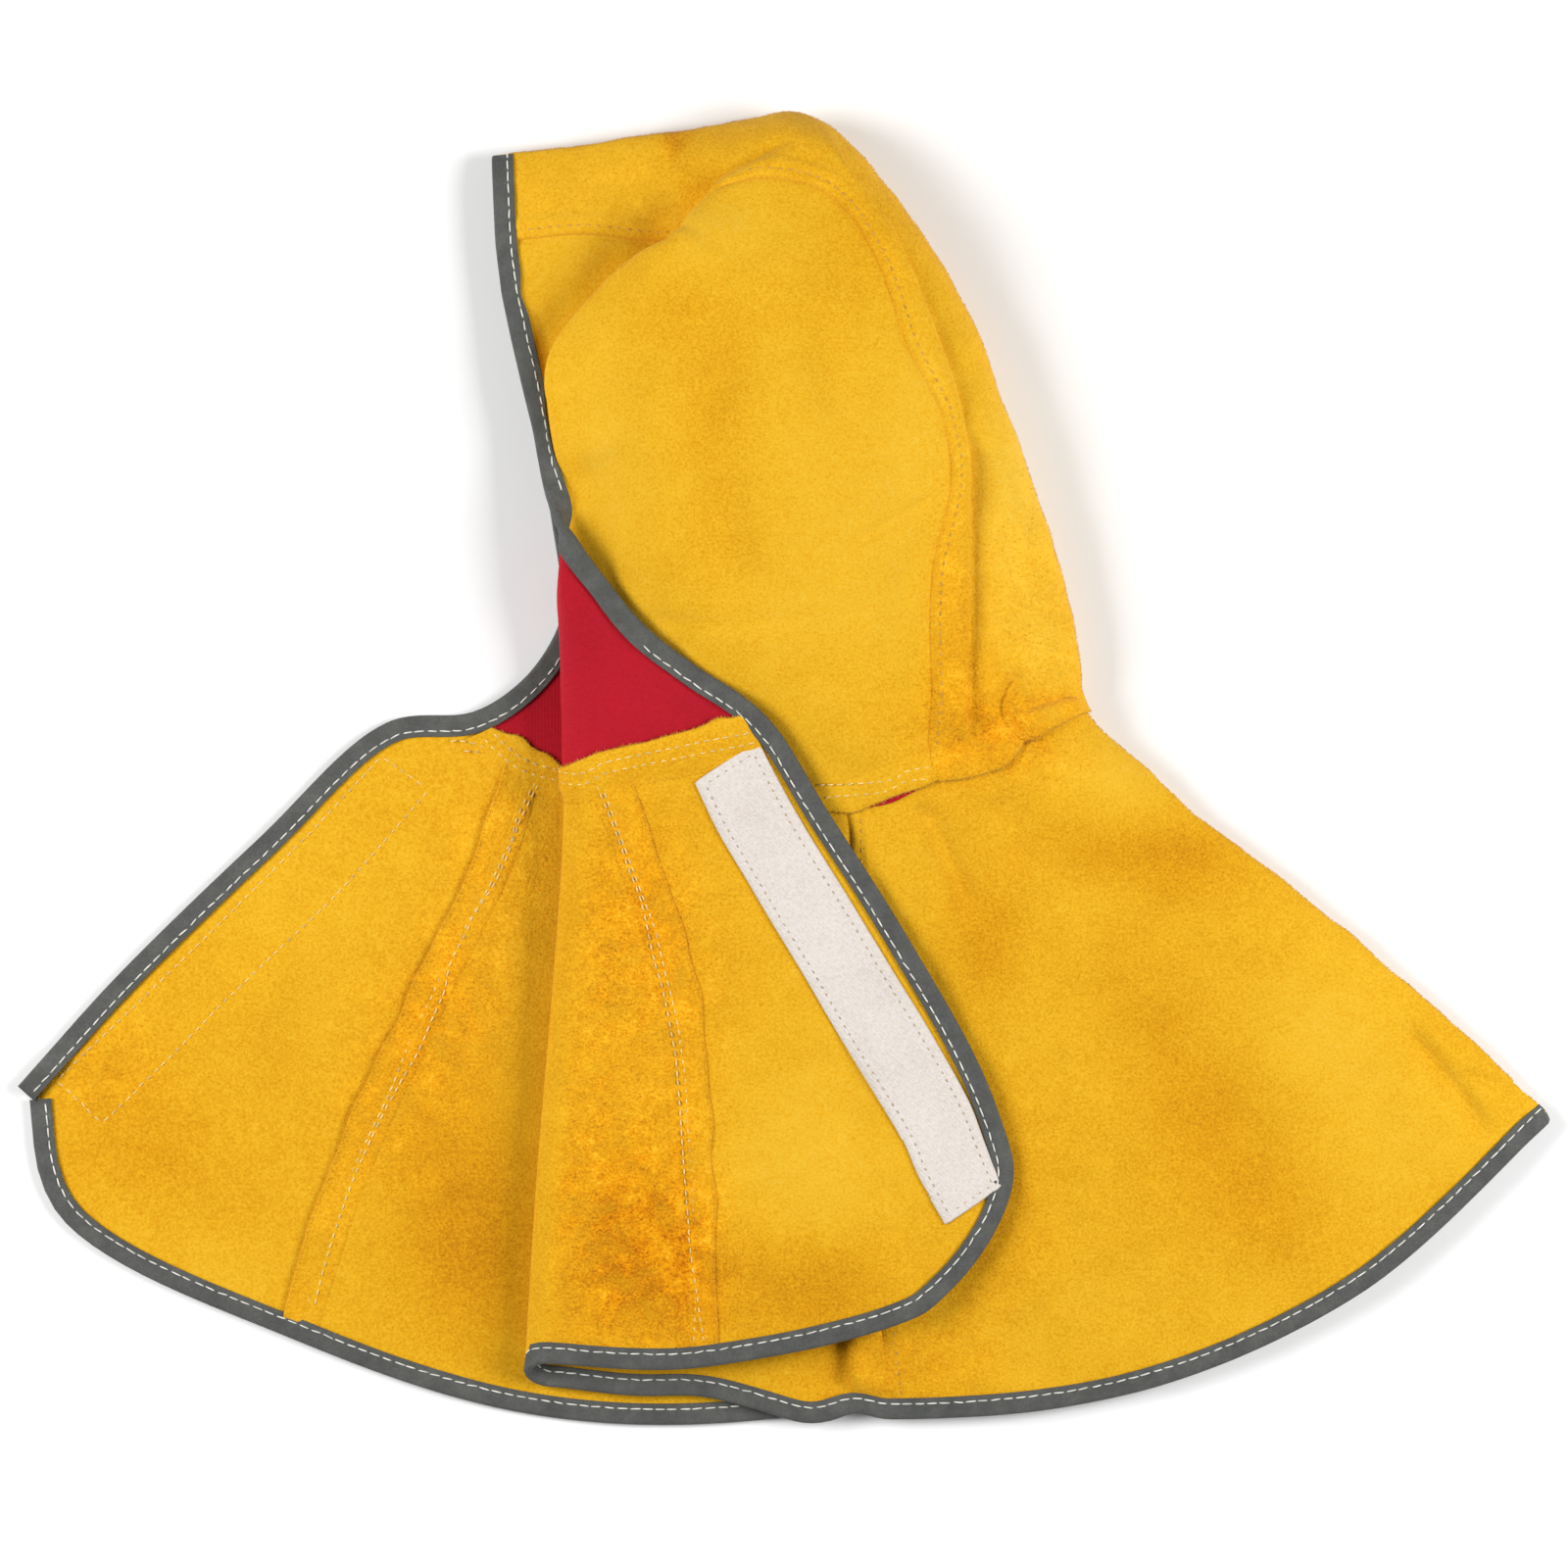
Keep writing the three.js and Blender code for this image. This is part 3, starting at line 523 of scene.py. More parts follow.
for line in range(CORNER_LINES):
    bottom = row_count - 1 - line
    along_hem = np.arange(line + CORNER_REACH - 1, line - 1, -1)
    up_edge = np.arange(bottom - 1, bottom - CORNER_REACH, -1)
    rows = np.concatenate([np.full(len(along_hem), bottom), up_edge])
    columns = np.concatenate([along_hem, np.full(len(up_edge), line)])
    passes = round(CORNER_PASSES * (1 - line / CORNER_LINES))
    smooth_skin[rows, columns] = softened(smooth_skin[rows, columns], passes)

# The three layers that lie on each other, as weights over the grid, which change at places in the net
down_place, across_place = np.meshgrid(down_places, across_places, indexing="ij")
net_place = {name: index for index, name in enumerate(COLUMNS)}
turned_back = smoothstep(ROWS.index("upper_back") + 0.6, ROWS.index("back") + 0.7, down_place)
past_fold = smoothstep(net_place["fold_side"] + 0.5, net_place["fold_under"], across_place)
before_fold = smoothstep(net_place["fold_side"], net_place["fold_over"], across_place)
before_rim = smoothstep(net_place["rim_low"], net_place["rim"] + 0.3, across_place)
past_rim = smoothstep(net_place["rim_low"], net_place["far_seam"] + 0.5, across_place)
LAYERS = dict(near=np.maximum(past_fold, 1 - turned_back) * before_rim, lapel=before_fold * turned_back,
              far=past_rim)

# The near layer's hem waves up and down the page
to_hem = np.cumsum(np.linalg.norm(np.diff(smooth_skin, axis=0), axis=-1)[::-1], axis=0)[::-1]
hem_fade = LAYERS["near"] * smoothstep(HEM_WAVE_REACH, 0, np.pad(to_hem, ((0, 1), (0, 0))))
for centre, half_width, rise in HEM_WAVES:
    from_wave = (smooth_skin[..., 0] - page_x(centre)) / (half_width * PIXEL)
    smooth_skin[..., 1] += hem_fade * rise * PIXEL * np.exp(-(from_wave**2))

# The outside of the leather is up on the near layer, and its inside on the other two
SIDE_UP = dict(near=1, lapel=-1, far=-1)
# The side of a crease that leans over the other is drawn aside this far from its line
OVERHANG_REACH = 0.009
# A crease fades in and out over this share of its length, and one that is wider than this over a larger share
WIDE_CREASE = 0.008
FADING = 0.18
WIDE_FADING = 0.45
# Share of a crease that is left at a bound edge, and the distances from the edge where it grows to all of it
BOUND_SHARE = 0.15
BOUND_REACH = (0.006, 0.018)
# A crease is worked out this many reaches or widths to each side of its path, where its layer has this weight
CREASE_MARGIN = 3
LEAST_WEIGHT = 0.01
# Points to a stretch of a crease's path, and of a path that is traced on the surface
CREASE_POINTS = 6
TRACE_POINTS = 40
# The leather's own unevenness as (height, size of its lumps), and the share of it where it lies on the floor
UNEVEN = ((0.0006, 0.030), (0.00022, 0.011))
FAR_UNEVEN = 0.35
# Lumps are the sum of this many waves, whose pitches lie between these numbers of sizes
LUMP_WAVES = 7
LUMP_PITCHES = (1.4, 2.6)


def from_path(places, path):
    """Distance in plan of each place from a path, positive on its left, its share of the way along, and the
    direction to the left there."""
    path = spline(np.array(path), np.linspace(0, len(path) - 1, CREASE_POINTS * len(path)))
    best = np.full(len(places), np.inf)
    signed, share = np.zeros(len(places)), np.zeros(len(places))
    left = np.zeros(places.shape)
    for index, (a, b) in enumerate(zip(path[:-1], path[1:])):
        along = b - a
        offset = places - a
        at = np.clip(offset @ along / (along @ along), 0, 1)
        distance = np.linalg.norm(offset - at[:, None] * along, axis=1)
        nearer = distance < best
        side = np.sign(along[0] * offset[:, 1] - along[1] * offset[:, 0])
        best = np.where(nearer, distance, best)
        signed = np.where(nearer, distance * side, signed)
        share = np.where(nearer, (index + at) / (len(path) - 1), share)
        left[nearer] = unit(np.array([-along[1], along[0]]))
    return signed, share, left


def crease_shift(line, places):
    """How far a crease raises the leather at these places in plan, and how far it draws it aside."""
    distance, share, left = from_path(places, metres(line["path"]))
    fading = WIDE_FADING if line["width"] > WIDE_CREASE else FADING
    ends = smoothstep(0, fading, share) * smoothstep(1, 1 - fading, share)
    on_left = 0.5 + 0.5 * np.tanh(distance / line["width"])
    sides = on_left * line["left"] + (1 - on_left) * line["right"]
    fade = np.exp(-((distance / line["reach"]) ** 2))
    valley = line["valley"] * np.exp(-((distance / line["width"]) ** 2))
    leaning = on_left if line["overhang"] > 0 else 1 - on_left
    aside = -line["overhang"] * leaning * np.exp(-((distance / OVERHANG_REACH) ** 2))
    return ends * (sides * fade - valley), left * (ends * aside)[:, None]


def lumps(places, size, seed):
    """A smooth uneven height between about -1 and 1, whose bumps are about size apart."""
    random = np.random.default_rng(seed)
    total = np.zeros(places.shape[:-1])
    for _ in range(LUMP_WAVES):
        heading = random.uniform(0, 2 * math.pi)
        pitch = size * random.uniform(*LUMP_PITCHES)
        phase = random.uniform(0, 2 * math.pi)
        along = places[..., 0] * math.cos(heading) + places[..., 1] * math.sin(heading)
        total += np.sin(2 * math.pi * along / pitch + phase)
    return total / math.sqrt(LUMP_WAVES)


def lengths_along(points, axis):
    """Distance of each point from the start of its column or its row, along the surface."""
    steps = np.linalg.norm(np.diff(points, axis=axis), axis=-1)
    return np.insert(np.cumsum(steps, axis=axis), 0, 0, axis=axis)


def to_bound_edge(points):
    """Distance of each point from the nearest bound edge, along its column or its row."""
    down, across = lengths_along(points, 0), lengths_along(points, 1)
    return np.minimum.reduce([down, down[-1:] - down, across, across[:, -1:] - across])


def creased(points):
    """The surface with its creases, which the bound edges flatten, and the leather's own unevenness, nowhere
    below the floor."""
    plan = points[..., :2].reshape(-1, 2)
    free = (BOUND_SHARE + (1 - BOUND_SHARE) * smoothstep(*BOUND_REACH, to_bound_edge(points))).ravel()
    height = np.zeros(points.shape[:2])
    aside = np.zeros(points.shape)
    for seed, (layer, weight) in enumerate(LAYERS.items()):
        uneven = sum(rise * lumps(points, size, 3 * seed + k) for k, (rise, size) in enumerate(UNEVEN))
        layer_height = uneven * (FAR_UNEVEN if layer == "far" else 1)
        touched = weight.ravel() > LEAST_WEIGHT
        for line in (c for c in CREASES if c["layer"] == layer):
            reach = CREASE_MARGIN * max(line["reach"], line["width"])
            path = metres(line["path"])
            close = np.all((plan > path.min(axis=0) - reach) & (plan < path.max(axis=0) + reach), axis=1)
            chosen = np.flatnonzero(touched & close)
            rise, shift = crease_shift(line, plan[chosen])
            layer_height.reshape(-1)[chosen] += free[chosen] * rise
            aside.reshape(-1, 3)[chosen, :2] += (free * weight.ravel())[chosen, None] * shift
        height += SIDE_UP[layer] * weight * layer_height
    return raised(points + normals_of(points) * height[..., None] + aside, FLOOR)


plan_skin = smooth_skin[..., :2].copy()
skin = creased(smooth_skin) - TABLE_MIDDLE
facing = normals_of(skin)
across_lengths = lengths_along(skin, 1)
down_lengths = lengths_along(skin, 0)
from_bound_edge = to_bound_edge(skin)

# Paint of the suede over the grid: roughness of the nap, and tone from deep to pale, with the painted light
# and painted shade of the patches
PANEL_TONES = dict(hood=0.04, strip=0.02, cape=-0.02, inside=0.0)
STRIP_NAP = 0.18
PLAIN_NAP = 0.05
# The outline of a rough patch is uneven by this much, in lumps of this size, with a seed for each layer
PATCH_NOISE = 0.25
PATCH_NOISE_SIZE = 0.009
PATCH_SEEDS = dict(near=4, far=3, lapel=5)
is_hood = down_place < ROWS.index("neck")
is_strip = (across_place > COLUMNS.index("seam")) & (across_place < COLUMNS.index("far_seam"))
tone_and_shading = np.where(is_hood, np.where(is_strip, PANEL_TONES["strip"], PANEL_TONES["hood"]), PANEL_TONES["cape"])
is_inside_up = (LAYERS["lapel"] + LAYERS["far"] > 0.5) & ~is_hood
tone_and_shading = np.where(is_inside_up, PANEL_TONES["inside"], tone_and_shading)
nap = np.where(is_hood & is_strip, STRIP_NAP, PLAIN_NAP)
for layer, centre, radii, patch_nap, patch_tone_and_shading in PATCHES:
    away = (plan_skin - metres(centre)) / (np.array(radii) * PIXEL)
    noise = PATCH_NOISE * lumps(plan_skin, PATCH_NOISE_SIZE, PATCH_SEEDS[layer]) if patch_nap else 0
    weight = LAYERS[layer] * np.exp(-np.maximum(0, (away**2).sum(axis=-1) + noise))
    nap += weight * patch_nap
    tone_and_shading += weight * patch_tone_and_shading


# Places on the surface, as fractional rows and columns of the grid

# Least height of the points that are laid on the surface, and of the fibres
JUST_CLEAR = 0.0001


def sampled(grid, rows, columns):
    """Values of a grid at fractional rows and columns."""
    last_row, last_column = grid.shape[0] - 1, grid.shape[1] - 1
    rows = np.clip(rows, 0, last_row)
    columns = np.clip(columns, 0, last_column)
    a = np.minimum(rows.astype(int), last_row - 1)
    b = np.minimum(columns.astype(int), last_column - 1)
    tail = (1,) * (grid.ndim - 2)
    s, t = (rows - a).reshape(rows.shape + tail), (columns - b).reshape(rows.shape + tail)
    upper = grid[a, b] * (1 - t) + grid[a, b + 1] * t
    return upper * (1 - s) + (grid[a + 1, b] * (1 - t) + grid[a + 1, b + 1] * t) * s


def across(column, distances, rows):
    """Places at distances from a column, along each of the rows; distances may have a value for each row."""
    distances = np.broadcast_to(distances, (len(rows), np.shape(distances)[-1]))
    columns = np.array([np.interp(across_lengths[j, column] + d, across_lengths[j], np.arange(column_count))
                        for j, d in zip(rows, distances)])
    return np.repeat(np.array(rows, float)[:, None], distances.shape[1], axis=1), columns


def below(row, distances, columns):
    """Places at distances down from a row, along each of the columns; the first index is the distance."""
    distances = np.broadcast_to(distances, (len(columns), np.shape(distances)[-1]))
    rows = np.array([np.interp(down_lengths[row, i] + d, down_lengths[:, i], np.arange(row_count))
                     for i, d in zip(columns, distances)])
    return rows.T, np.repeat(np.array(columns, float)[None, :], distances.shape[1], axis=0)


def lifted(places, height):
    """Points at places on the surface, raised along its outward normal."""
    normals = unit(sampled(facing, *places))
    return raised(sampled(skin, *places) + normals * np.asarray(height)[..., None], JUST_CLEAR)


def traced(layer, path):
    """Places of a layer that lie under a path of photograph pixels, about half a grid step apart."""
    line = spline(metres(path), np.linspace(0, len(path) - 1, TRACE_POINTS * len(path)))
    plan = skin[..., :2] + TABLE_MIDDLE[:2]
    chosen = np.flatnonzero(LAYERS[layer] > 0.5)
    known = plan.reshape(-1, 2)[chosen]
    nearest = chosen[[np.argmin(((known - place) ** 2).sum(axis=1)) for place in line]]
    rows = np.clip(nearest // column_count, 1, row_count - 2)
    columns = np.clip(nearest % column_count, 1, column_count - 2)
    down = (plan[rows + 1, columns] - plan[rows - 1, columns]) / 2
    along = (plan[rows, columns + 1] - plan[rows, columns - 1]) / 2
    missing = line - plan[rows, columns]
    turn = down[:, 0] * along[:, 1] - down[:, 1] * along[:, 0]
    more_rows = (missing[:, 0] * along[:, 1] - missing[:, 1] * along[:, 0]) / turn
    more_columns = (down[:, 0] * missing[:, 1] - down[:, 1] * missing[:, 0]) / turn
    return rows + np.clip(more_rows, -1, 1), columns + np.clip(more_columns, -1, 1)


# Meshes

def new_object(name, parts, material, is_node=False):
    """A smooth mesh object on the frame's body from (points, faces, paint), with its material. A node takes
    the place of the CAD node of its name. The paint is a dictionary of the suede's attributes."""
    points, faces, paint = parts
    mesh = bpy.data.meshes.new(name)
    mesh.from_pydata(points, [], faces)
    mesh.shade_smooth()
    for attribute, values in paint.items():
        mesh.attributes.new(attribute, "FLOAT", "POINT").data.foreach_set("value", values.astype(np.float32))
    mesh.materials.append(material)
    made = bpy.data.objects.new(name, mesh)
    bpy.context.collection.objects.link(made)
    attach(made, "root")
    if is_node:
        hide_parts(name)
    return made


def shell(upper, lower):
    """Points and faces of a closed sheet between two equal grids, outer one first, with rounded edges."""
    rows, columns = upper.shape[:2]
    index = np.arange(rows * columns).reshape(rows, columns)
    lower_index = index + rows * columns
    quads = [np.stack([grid[:-1, :-1], grid[1:, :-1], grid[1:, 1:], grid[:-1, 1:]], axis=-1).reshape(-1, 4)
             for grid in (index, lower_index[:, ::-1])]
    ring = np.concatenate([index[0, :-1], index[:-1, -1], index[-1, :0:-1], index[:0:-1, 0]])
    flat_upper, flat_lower = upper.reshape(-1, 3), lower.reshape(-1, 3)
    inner_ring = np.concatenate([index[1, :-1], index[:-1, -2], index[-2, :0:-1], index[:0:-1, 1]])
    middle = (flat_upper[ring] + flat_lower[ring]) / 2
    half = np.linalg.norm(flat_upper[ring] - flat_lower[ring], axis=1, keepdims=True) / 2
    outward = unit(flat_upper[ring] - flat_upper[inner_ring])
    middle_index = 2 * rows * columns + np.arange(len(ring))
    for a, b in ((ring, middle_index), (middle_index, ring + rows * columns)):
        quads.append(np.stack([a, np.roll(a, -1), np.roll(b, -1), b], axis=-1))
    points = np.concatenate([flat_upper, flat_lower, middle + outward * half])
    return points, np.concatenate(quads), np.concatenate([np.arange(rows * columns)] * 2 + [ring])


def joined(shells):
    """Several (points, faces, paint) as one."""
    points, faces, paints = [], [], []
    count = 0
    for shell_points, shell_faces, paint in shells:
        points.append(shell_points)
        faces.append(shell_faces + count)
        paints.append(paint)
        count += len(shell_points)
    paint = {name: np.concatenate([p[name] for p in paints]) for name in paints[0]}
    return np.concatenate(points), np.concatenate(faces), paint


def unpainted(parts):
    """The same (points, faces, paint) without the paint."""
    points, faces, _ = parts
    return points, faces, {}


def sheet_at(places, outer, inner, more_nap=0.0):
    """A sheet over places of the surface between two heights, with the suede's paint."""
    points, faces, source = shell(lifted(places, outer), lifted(places, inner))
    nap_here, tone_and_shading_here = (sampled(grid, *places).ravel()[source] for grid in (nap, tone_and_shading))
    return points, faces, dict(nap=nap_here + more_nap, tone_and_shading=tone_and_shading_here)


# Materials

# Size of a noise texture's lumps and rate of a wave texture's bands at scale 1, and how far the bands wander
NOISE_LUMP = 0.6
WAVE_RATE = 10
WAVE_DISTORTION = 0.6


class Paint:
    """A material with a shader, and short calls for the nodes that drive its colour and bump."""

    def __init__(self, name, roughness, sheen, specular):
        self.material = bpy.data.materials.new(name)
        self.material.use_nodes = True
        self.tree = self.material.node_tree
        self.shader = self.tree.nodes["Principled BSDF"]
        self.shader.inputs["Roughness"].default_value = roughness
        self.shader.inputs["Sheen Weight"].default_value = sheen
        self.shader.inputs["Sheen Roughness"].default_value = 0.5
        self.shader.inputs["Specular IOR Level"].default_value = specular
        self.place = self.node("ShaderNodeTexCoord").outputs["Object"]

    def node(self, kind, **inputs):
        made = self.tree.nodes.new(kind)
        for name, value in inputs.items():
            self.feed(made.inputs[name], value)
        return made

    def feed(self, socket, value):
        if isinstance(value, bpy.types.NodeSocket):
            self.tree.links.new(value, socket)
        else:
            socket.default_value = value

    def noise(self, size, detail=2.0, roughness=0.5):
        """Uneven values about 0.5 whose lumps are about size across."""
        return self.node("ShaderNodeTexNoise", Vector=self.place, Scale=NOISE_LUMP / size, Detail=detail,
                         Roughness=roughness).outputs["Fac"]

    def weave(self, pitch, direction):
        """Bands across one direction of the floor plane, a pitch apart."""
        made = self.node("ShaderNodeTexWave", Vector=self.place, Scale=math.pi / (WAVE_RATE * pitch),
                         Distortion=WAVE_DISTORTION)
        made.bands_direction = direction
        return made.outputs["Fac"]

    def math(self, operation, a, b):
        made = self.tree.nodes.new("ShaderNodeMath")
        made.operation = operation
        self.feed(made.inputs[0], a)
        self.feed(made.inputs[1], b)
        return made.outputs["Value"]

    def about(self, value, amount):
        """A value that lies about 0.5, as a change of this amount about 0."""
        return self.math("MULTIPLY", self.math("SUBTRACT", value, 0.5), amount)

    def total(self, *values):
        result = values[0]
        for value in values[1:]:
            result = self.math("ADD", result, value)
        return result

    def attribute(self, name):
        made = self.tree.nodes.new("ShaderNodeAttribute")
        made.attribute_name = name
        return made.outputs["Fac"]

    def ramp(self, value, *stops):
        """A colour from stops of (place, sRGB colour)."""
        made = self.node("ShaderNodeValToRGB", Fac=value)
        elements = made.color_ramp.elements
        while len(elements) < len(stops):
            elements.new(0.5)
        for element, (place, colour) in zip(elements, stops):
            element.position = place
            element.color = linear(colour)
        return made.outputs["Color"]

    def mixed(self, factor, a, b):
        made = self.tree.nodes.new("ShaderNodeMix")
        made.data_type = "RGBA"
        made.clamp_factor = True
        self.feed(made.inputs["Factor"], factor)
        self.feed(made.inputs["A"], a)
        self.feed(made.inputs["B"], b)
        return made.outputs["Result"]

    def finish(self, colour, height, depth):
        """Sets the colour, and a bump from a height of this depth."""
        self.feed(self.shader.inputs["Base Color"], colour)
        bump = self.node("ShaderNodeBump", Height=height, Distance=depth, Strength=1.0)
        self.feed(self.shader.inputs["Normal"], bump.outputs["Normal"])
        return self.material


def linear(colour):
    """A colour of 0 to 255 in sRGB as the shader takes it."""
    shares = [c / 255 for c in colour]
    return (*[s / 12.92 if s <= 0.04045 else ((s + 0.055) / 1.055) ** 2.4 for s in shares], 1.0)


def suede_material():
    """Split leather: blotches, a mottled nap, fine grain and rough orange patches where the nap is lifted."""
    paint = Paint("suede", roughness=0.92, sheen=0.06, specular=0.10)
    nap_here, tone_and_shading_here = paint.attribute("nap"), paint.attribute("tone_and_shading")
    broad = paint.noise(0.065, 3)
    mottled = paint.noise(0.010, 4, 0.6)
    clumps = paint.noise(0.0032, 3, 0.65)
    grain = paint.noise(0.0008, 2, 0.7)
    # The level follows the tone attribute, which holds painted light and painted shade as well as the suede's
    # own tone
    level = paint.total(tone_and_shading_here, 0.5, paint.about(broad, 0.32), paint.about(mottled, 0.16),
                        paint.about(clumps, 0.09), paint.about(grain, 0.75))
    colour = paint.ramp(level, (0.05, (168, 102, 3)), (0.34, (206, 146, 13)), (0.56, (221, 169, 30)),
                        (0.78, (223, 180, 55)), (1.0, (228, 193, 88)))
    patchy = paint.total(0.8, paint.about(mottled, 2.8), paint.about(clumps, 1.2))
    rough = paint.math("MULTIPLY", nap_here, patchy)
    rough_level = paint.total(tone_and_shading_here, 0.5, paint.about(mottled, 0.8), paint.about(clumps, 0.6),
                              paint.about(grain, 0.7))
    rough_colour = paint.ramp(rough_level, (0.26, (176, 92, 0)), (0.42, (213, 132, 2)), (0.57, (229, 155, 7)),
                              (0.80, (240, 184, 38)))
    colour = paint.mixed(rough, colour, rough_colour)
    fine = paint.math("MULTIPLY", grain, 0.15)
    coarse = paint.math("MULTIPLY", clumps, paint.total(paint.math("MULTIPLY", nap_here, 1.2), 0.04))
    return paint.finish(colour, paint.total(fine, coarse), 0.0014)


def lining_material():
    """Red cotton in a fine plain weave."""
    paint = Paint("red_cotton", roughness=0.7, sheen=0.03, specular=0.15)
    threads = paint.math("ADD", paint.weave(0.0007, "X"), paint.weave(0.0007, "Y"))
    level = paint.total(0.5, paint.about(paint.noise(0.03, 3), 0.5), paint.about(paint.noise(0.0012, 2), 0.3))
    colour = paint.ramp(level, (0.2, (158, 8, 26)), (0.5, (180, 15, 35)), (0.85, (196, 26, 45)))
    return paint.finish(colour, threads, 0.00012)


def binding_material():
    """Dark grey-green woven strip with a dull coated face."""
    paint = Paint("binding", roughness=0.7, sheen=0.08, specular=0.3)
    weave = paint.math("ADD", paint.weave(0.0007, "DIAGONAL"), paint.noise(0.0008, 2))
    level = paint.total(0.5, paint.about(paint.noise(0.007, 4, 0.65), 0.7),
                        paint.about(paint.noise(0.0009), 0.35))
    colour = paint.ramp(level, (0.2, (60, 62, 59)), (0.5, (80, 81, 78)), (0.85, (102, 103, 98)))
    return paint.finish(colour, weave, 0.00012)


def loop_material():
    """Off-white brushed loops on a woven tape."""
    paint = Paint("loop_pile", roughness=0.9, sheen=0.25, specular=0.15)
    loops = paint.noise(0.0010, 3, 0.7)
    ribs = paint.weave(0.0013, "DIAGONAL")
    level = paint.total(0.5, paint.about(loops, 0.8), paint.about(paint.noise(0.02, 3), 0.25),
                        paint.about(ribs, 0.04))
    colour = paint.ramp(level, (0.15, (191, 180, 170)), (0.5, (215, 206, 198)), (0.85, (230, 224, 218)))
    return paint.finish(colour, paint.total(loops, paint.math("MULTIPLY", ribs, 0.12)), 0.0005)


def hook_material():
    """Off-white hooked tape, a close field of small stiff hooks."""
    paint = Paint("hook_field", roughness=0.6, sheen=0.0, specular=0.4)
    hooks = paint.math("MULTIPLY", paint.weave(0.0016, "X"), paint.weave(0.0016, "Y"))
    colour = paint.ramp(paint.total(hooks, paint.about(paint.noise(0.004), 0.3)), (0.1, (196, 190, 182)),
                        (0.6, (233, 228, 222)))
    return paint.finish(colour, hooks, 0.0008)


def thread_material(name, colour):
    """Twisted sewing thread."""
    paint = Paint(name, roughness=0.75, sheen=0.1, specular=0.25)
    shade = paint.noise(0.004, 2)
    dark = tuple(0.82 * c for c in colour)
    shaded = paint.ramp(shade, (0.3, dark), (0.6, colour))
    return paint.finish(shaded, paint.weave(0.0005, "DIAGONAL"), 0.0001)


def floor_material():
    """Plain pale floor."""
    paint = Paint("floor", roughness=0.9, sheen=0.0, specular=0.1)
    shade = paint.noise(0.4, 2)
    return paint.finish(paint.ramp(shade, (0.3, (243, 243, 242)), (0.7, (247, 247, 247))), shade, 0.0001)


suede = suede_material()
red_cotton = lining_material()
bias = binding_material()
loop_pile = loop_material()
hook_field = hook_material()
white_thread = thread_material("white_thread", (238, 237, 228))
cream_thread = thread_material("cream_thread", (246, 216, 140))
tan_thread = thread_material("tan_thread", (190, 170, 132))
golden_thread = thread_material("golden_thread", (214, 164, 74))


# Leather panels

# Where two panels meet, both are drawn in by this much
SEAM_DIP = 0.0010
SEAM_DIP_WIDTH = 0.0020
# A seam's turned-under edge is a raised band of this width, with these slopes at its start and its end
BAND_RISE = 0.0011
BAND_WIDTH = 0.0085
BAND_START = 0.0016
BAND_END = 0.004
# Distance of the stitches from the crown's seams and from the back panel's, and how they sink in
TOPSTITCH = 0.005
FLANK_STITCH = 0.006
STITCH_SINK = 0.0005
STITCH_SINK_WIDTH = 0.0014

# Under the binding the leather is thinned, and the bands are flat
COVERED = (0.0070, 0.0095)
THINNED = 0.25
# Grid lines at the hem where no stitches or laps reach, because the binding covers them
HEM_LINES = 3


def hump(distance, centre, width):
    """A smooth bump of height 1 about a distance."""
    return np.exp(-(((distance - centre) / width) ** 2))


def band(distance, stitch):
    """Height of a seam's turned-under edge: a raised band with the line of stitches sunk into it."""
    rise = BAND_RISE * smoothstep(0, BAND_START, distance)
    rise = rise * smoothstep(BAND_WIDTH + BAND_END, BAND_WIDTH, distance)
    return rise - STITCH_SINK * hump(distance, stitch, STITCH_SINK_WIDTH)


def block(columns, rows):
    """Places of a panel, one grid line in from a bound edge and two from the hem, under the binding."""
    left, right = (COLUMN[name] for name in columns)
    top, bottom = (ROW[name] for name in rows)
    left += left == 0
    right -= right == column_count - 1
    top += top == 0
    bottom -= 2 * (bottom == row_count - 1)
    return np.meshgrid(np.arange(top, bottom + 1.0), np.arange(left, right + 1.0), indexing="ij")


def to_border(places, side):
    """Distance of each place of a block from its left, right, top or bottom border, along the surface."""
    lengths = across_lengths if side in ("left", "right") else down_lengths
    here = sampled(lengths, *places)
    border = {"left": here[:, :1], "right": here[:, -1:], "top": here[:1], "bottom": here[-1:]}[side]
    return np.abs(here - border)


def leather_panel(columns, rows, seams, bands=()):
    """A leather panel, dipped along its seams, with raised bands as (side, distance of the stitches)."""
    places = block(columns, rows)
    uncovered = smoothstep(*COVERED, sampled(from_bound_edge, *places))
    half = LEATHER / 2 * (THINNED + (1 - THINNED) * uncovered)
    middle = np.zeros(places[0].shape)
    for side in seams:
        middle -= SEAM_DIP * hump(to_border(places, side), 0, SEAM_DIP_WIDTH)
    for side, stitch in bands:
        middle += band(to_border(places, side), stitch)
    middle *= uncovered
    return places, sheet_at(places, middle + half, middle - half)


def flat_size(places):
    """Width, length and area that a panel was cut to, measured along its surface, which hardly stretches."""
    points = lifted(places, 0.0)
    width = lengths_along(points, 1)[:, -1].max()
    length = lengths_along(points, 0)[-1].max()
    diagonals = points[1:, 1:] - points[:-1, :-1], points[1:, :-1] - points[:-1, 1:]
    area = np.linalg.norm(np.cross(*diagonals), axis=-1).sum() / 2
    return (round(float(width), 3), round(float(length), 3)), round(float(area), 4)


# Laps: the strips of leather that lie over the neighbouring panel along a seam

# A raw edge wanders this much, in waves of this size
RAW_WOBBLE = 0.0008
RAW_WAVE = 0.022
# A lap starts this far before its stitches, is at its full height this far past them, and curls at its edge
LAP_LINES = 9
LAP_LEAD = 0.007
LAP_SLOPE = 0.004
LAP_CURL_WIDTH = 0.003
LAP_SINK_WIDTH = 0.002
LAP_GAP = 0.0002
LAP_NAP = 0.25


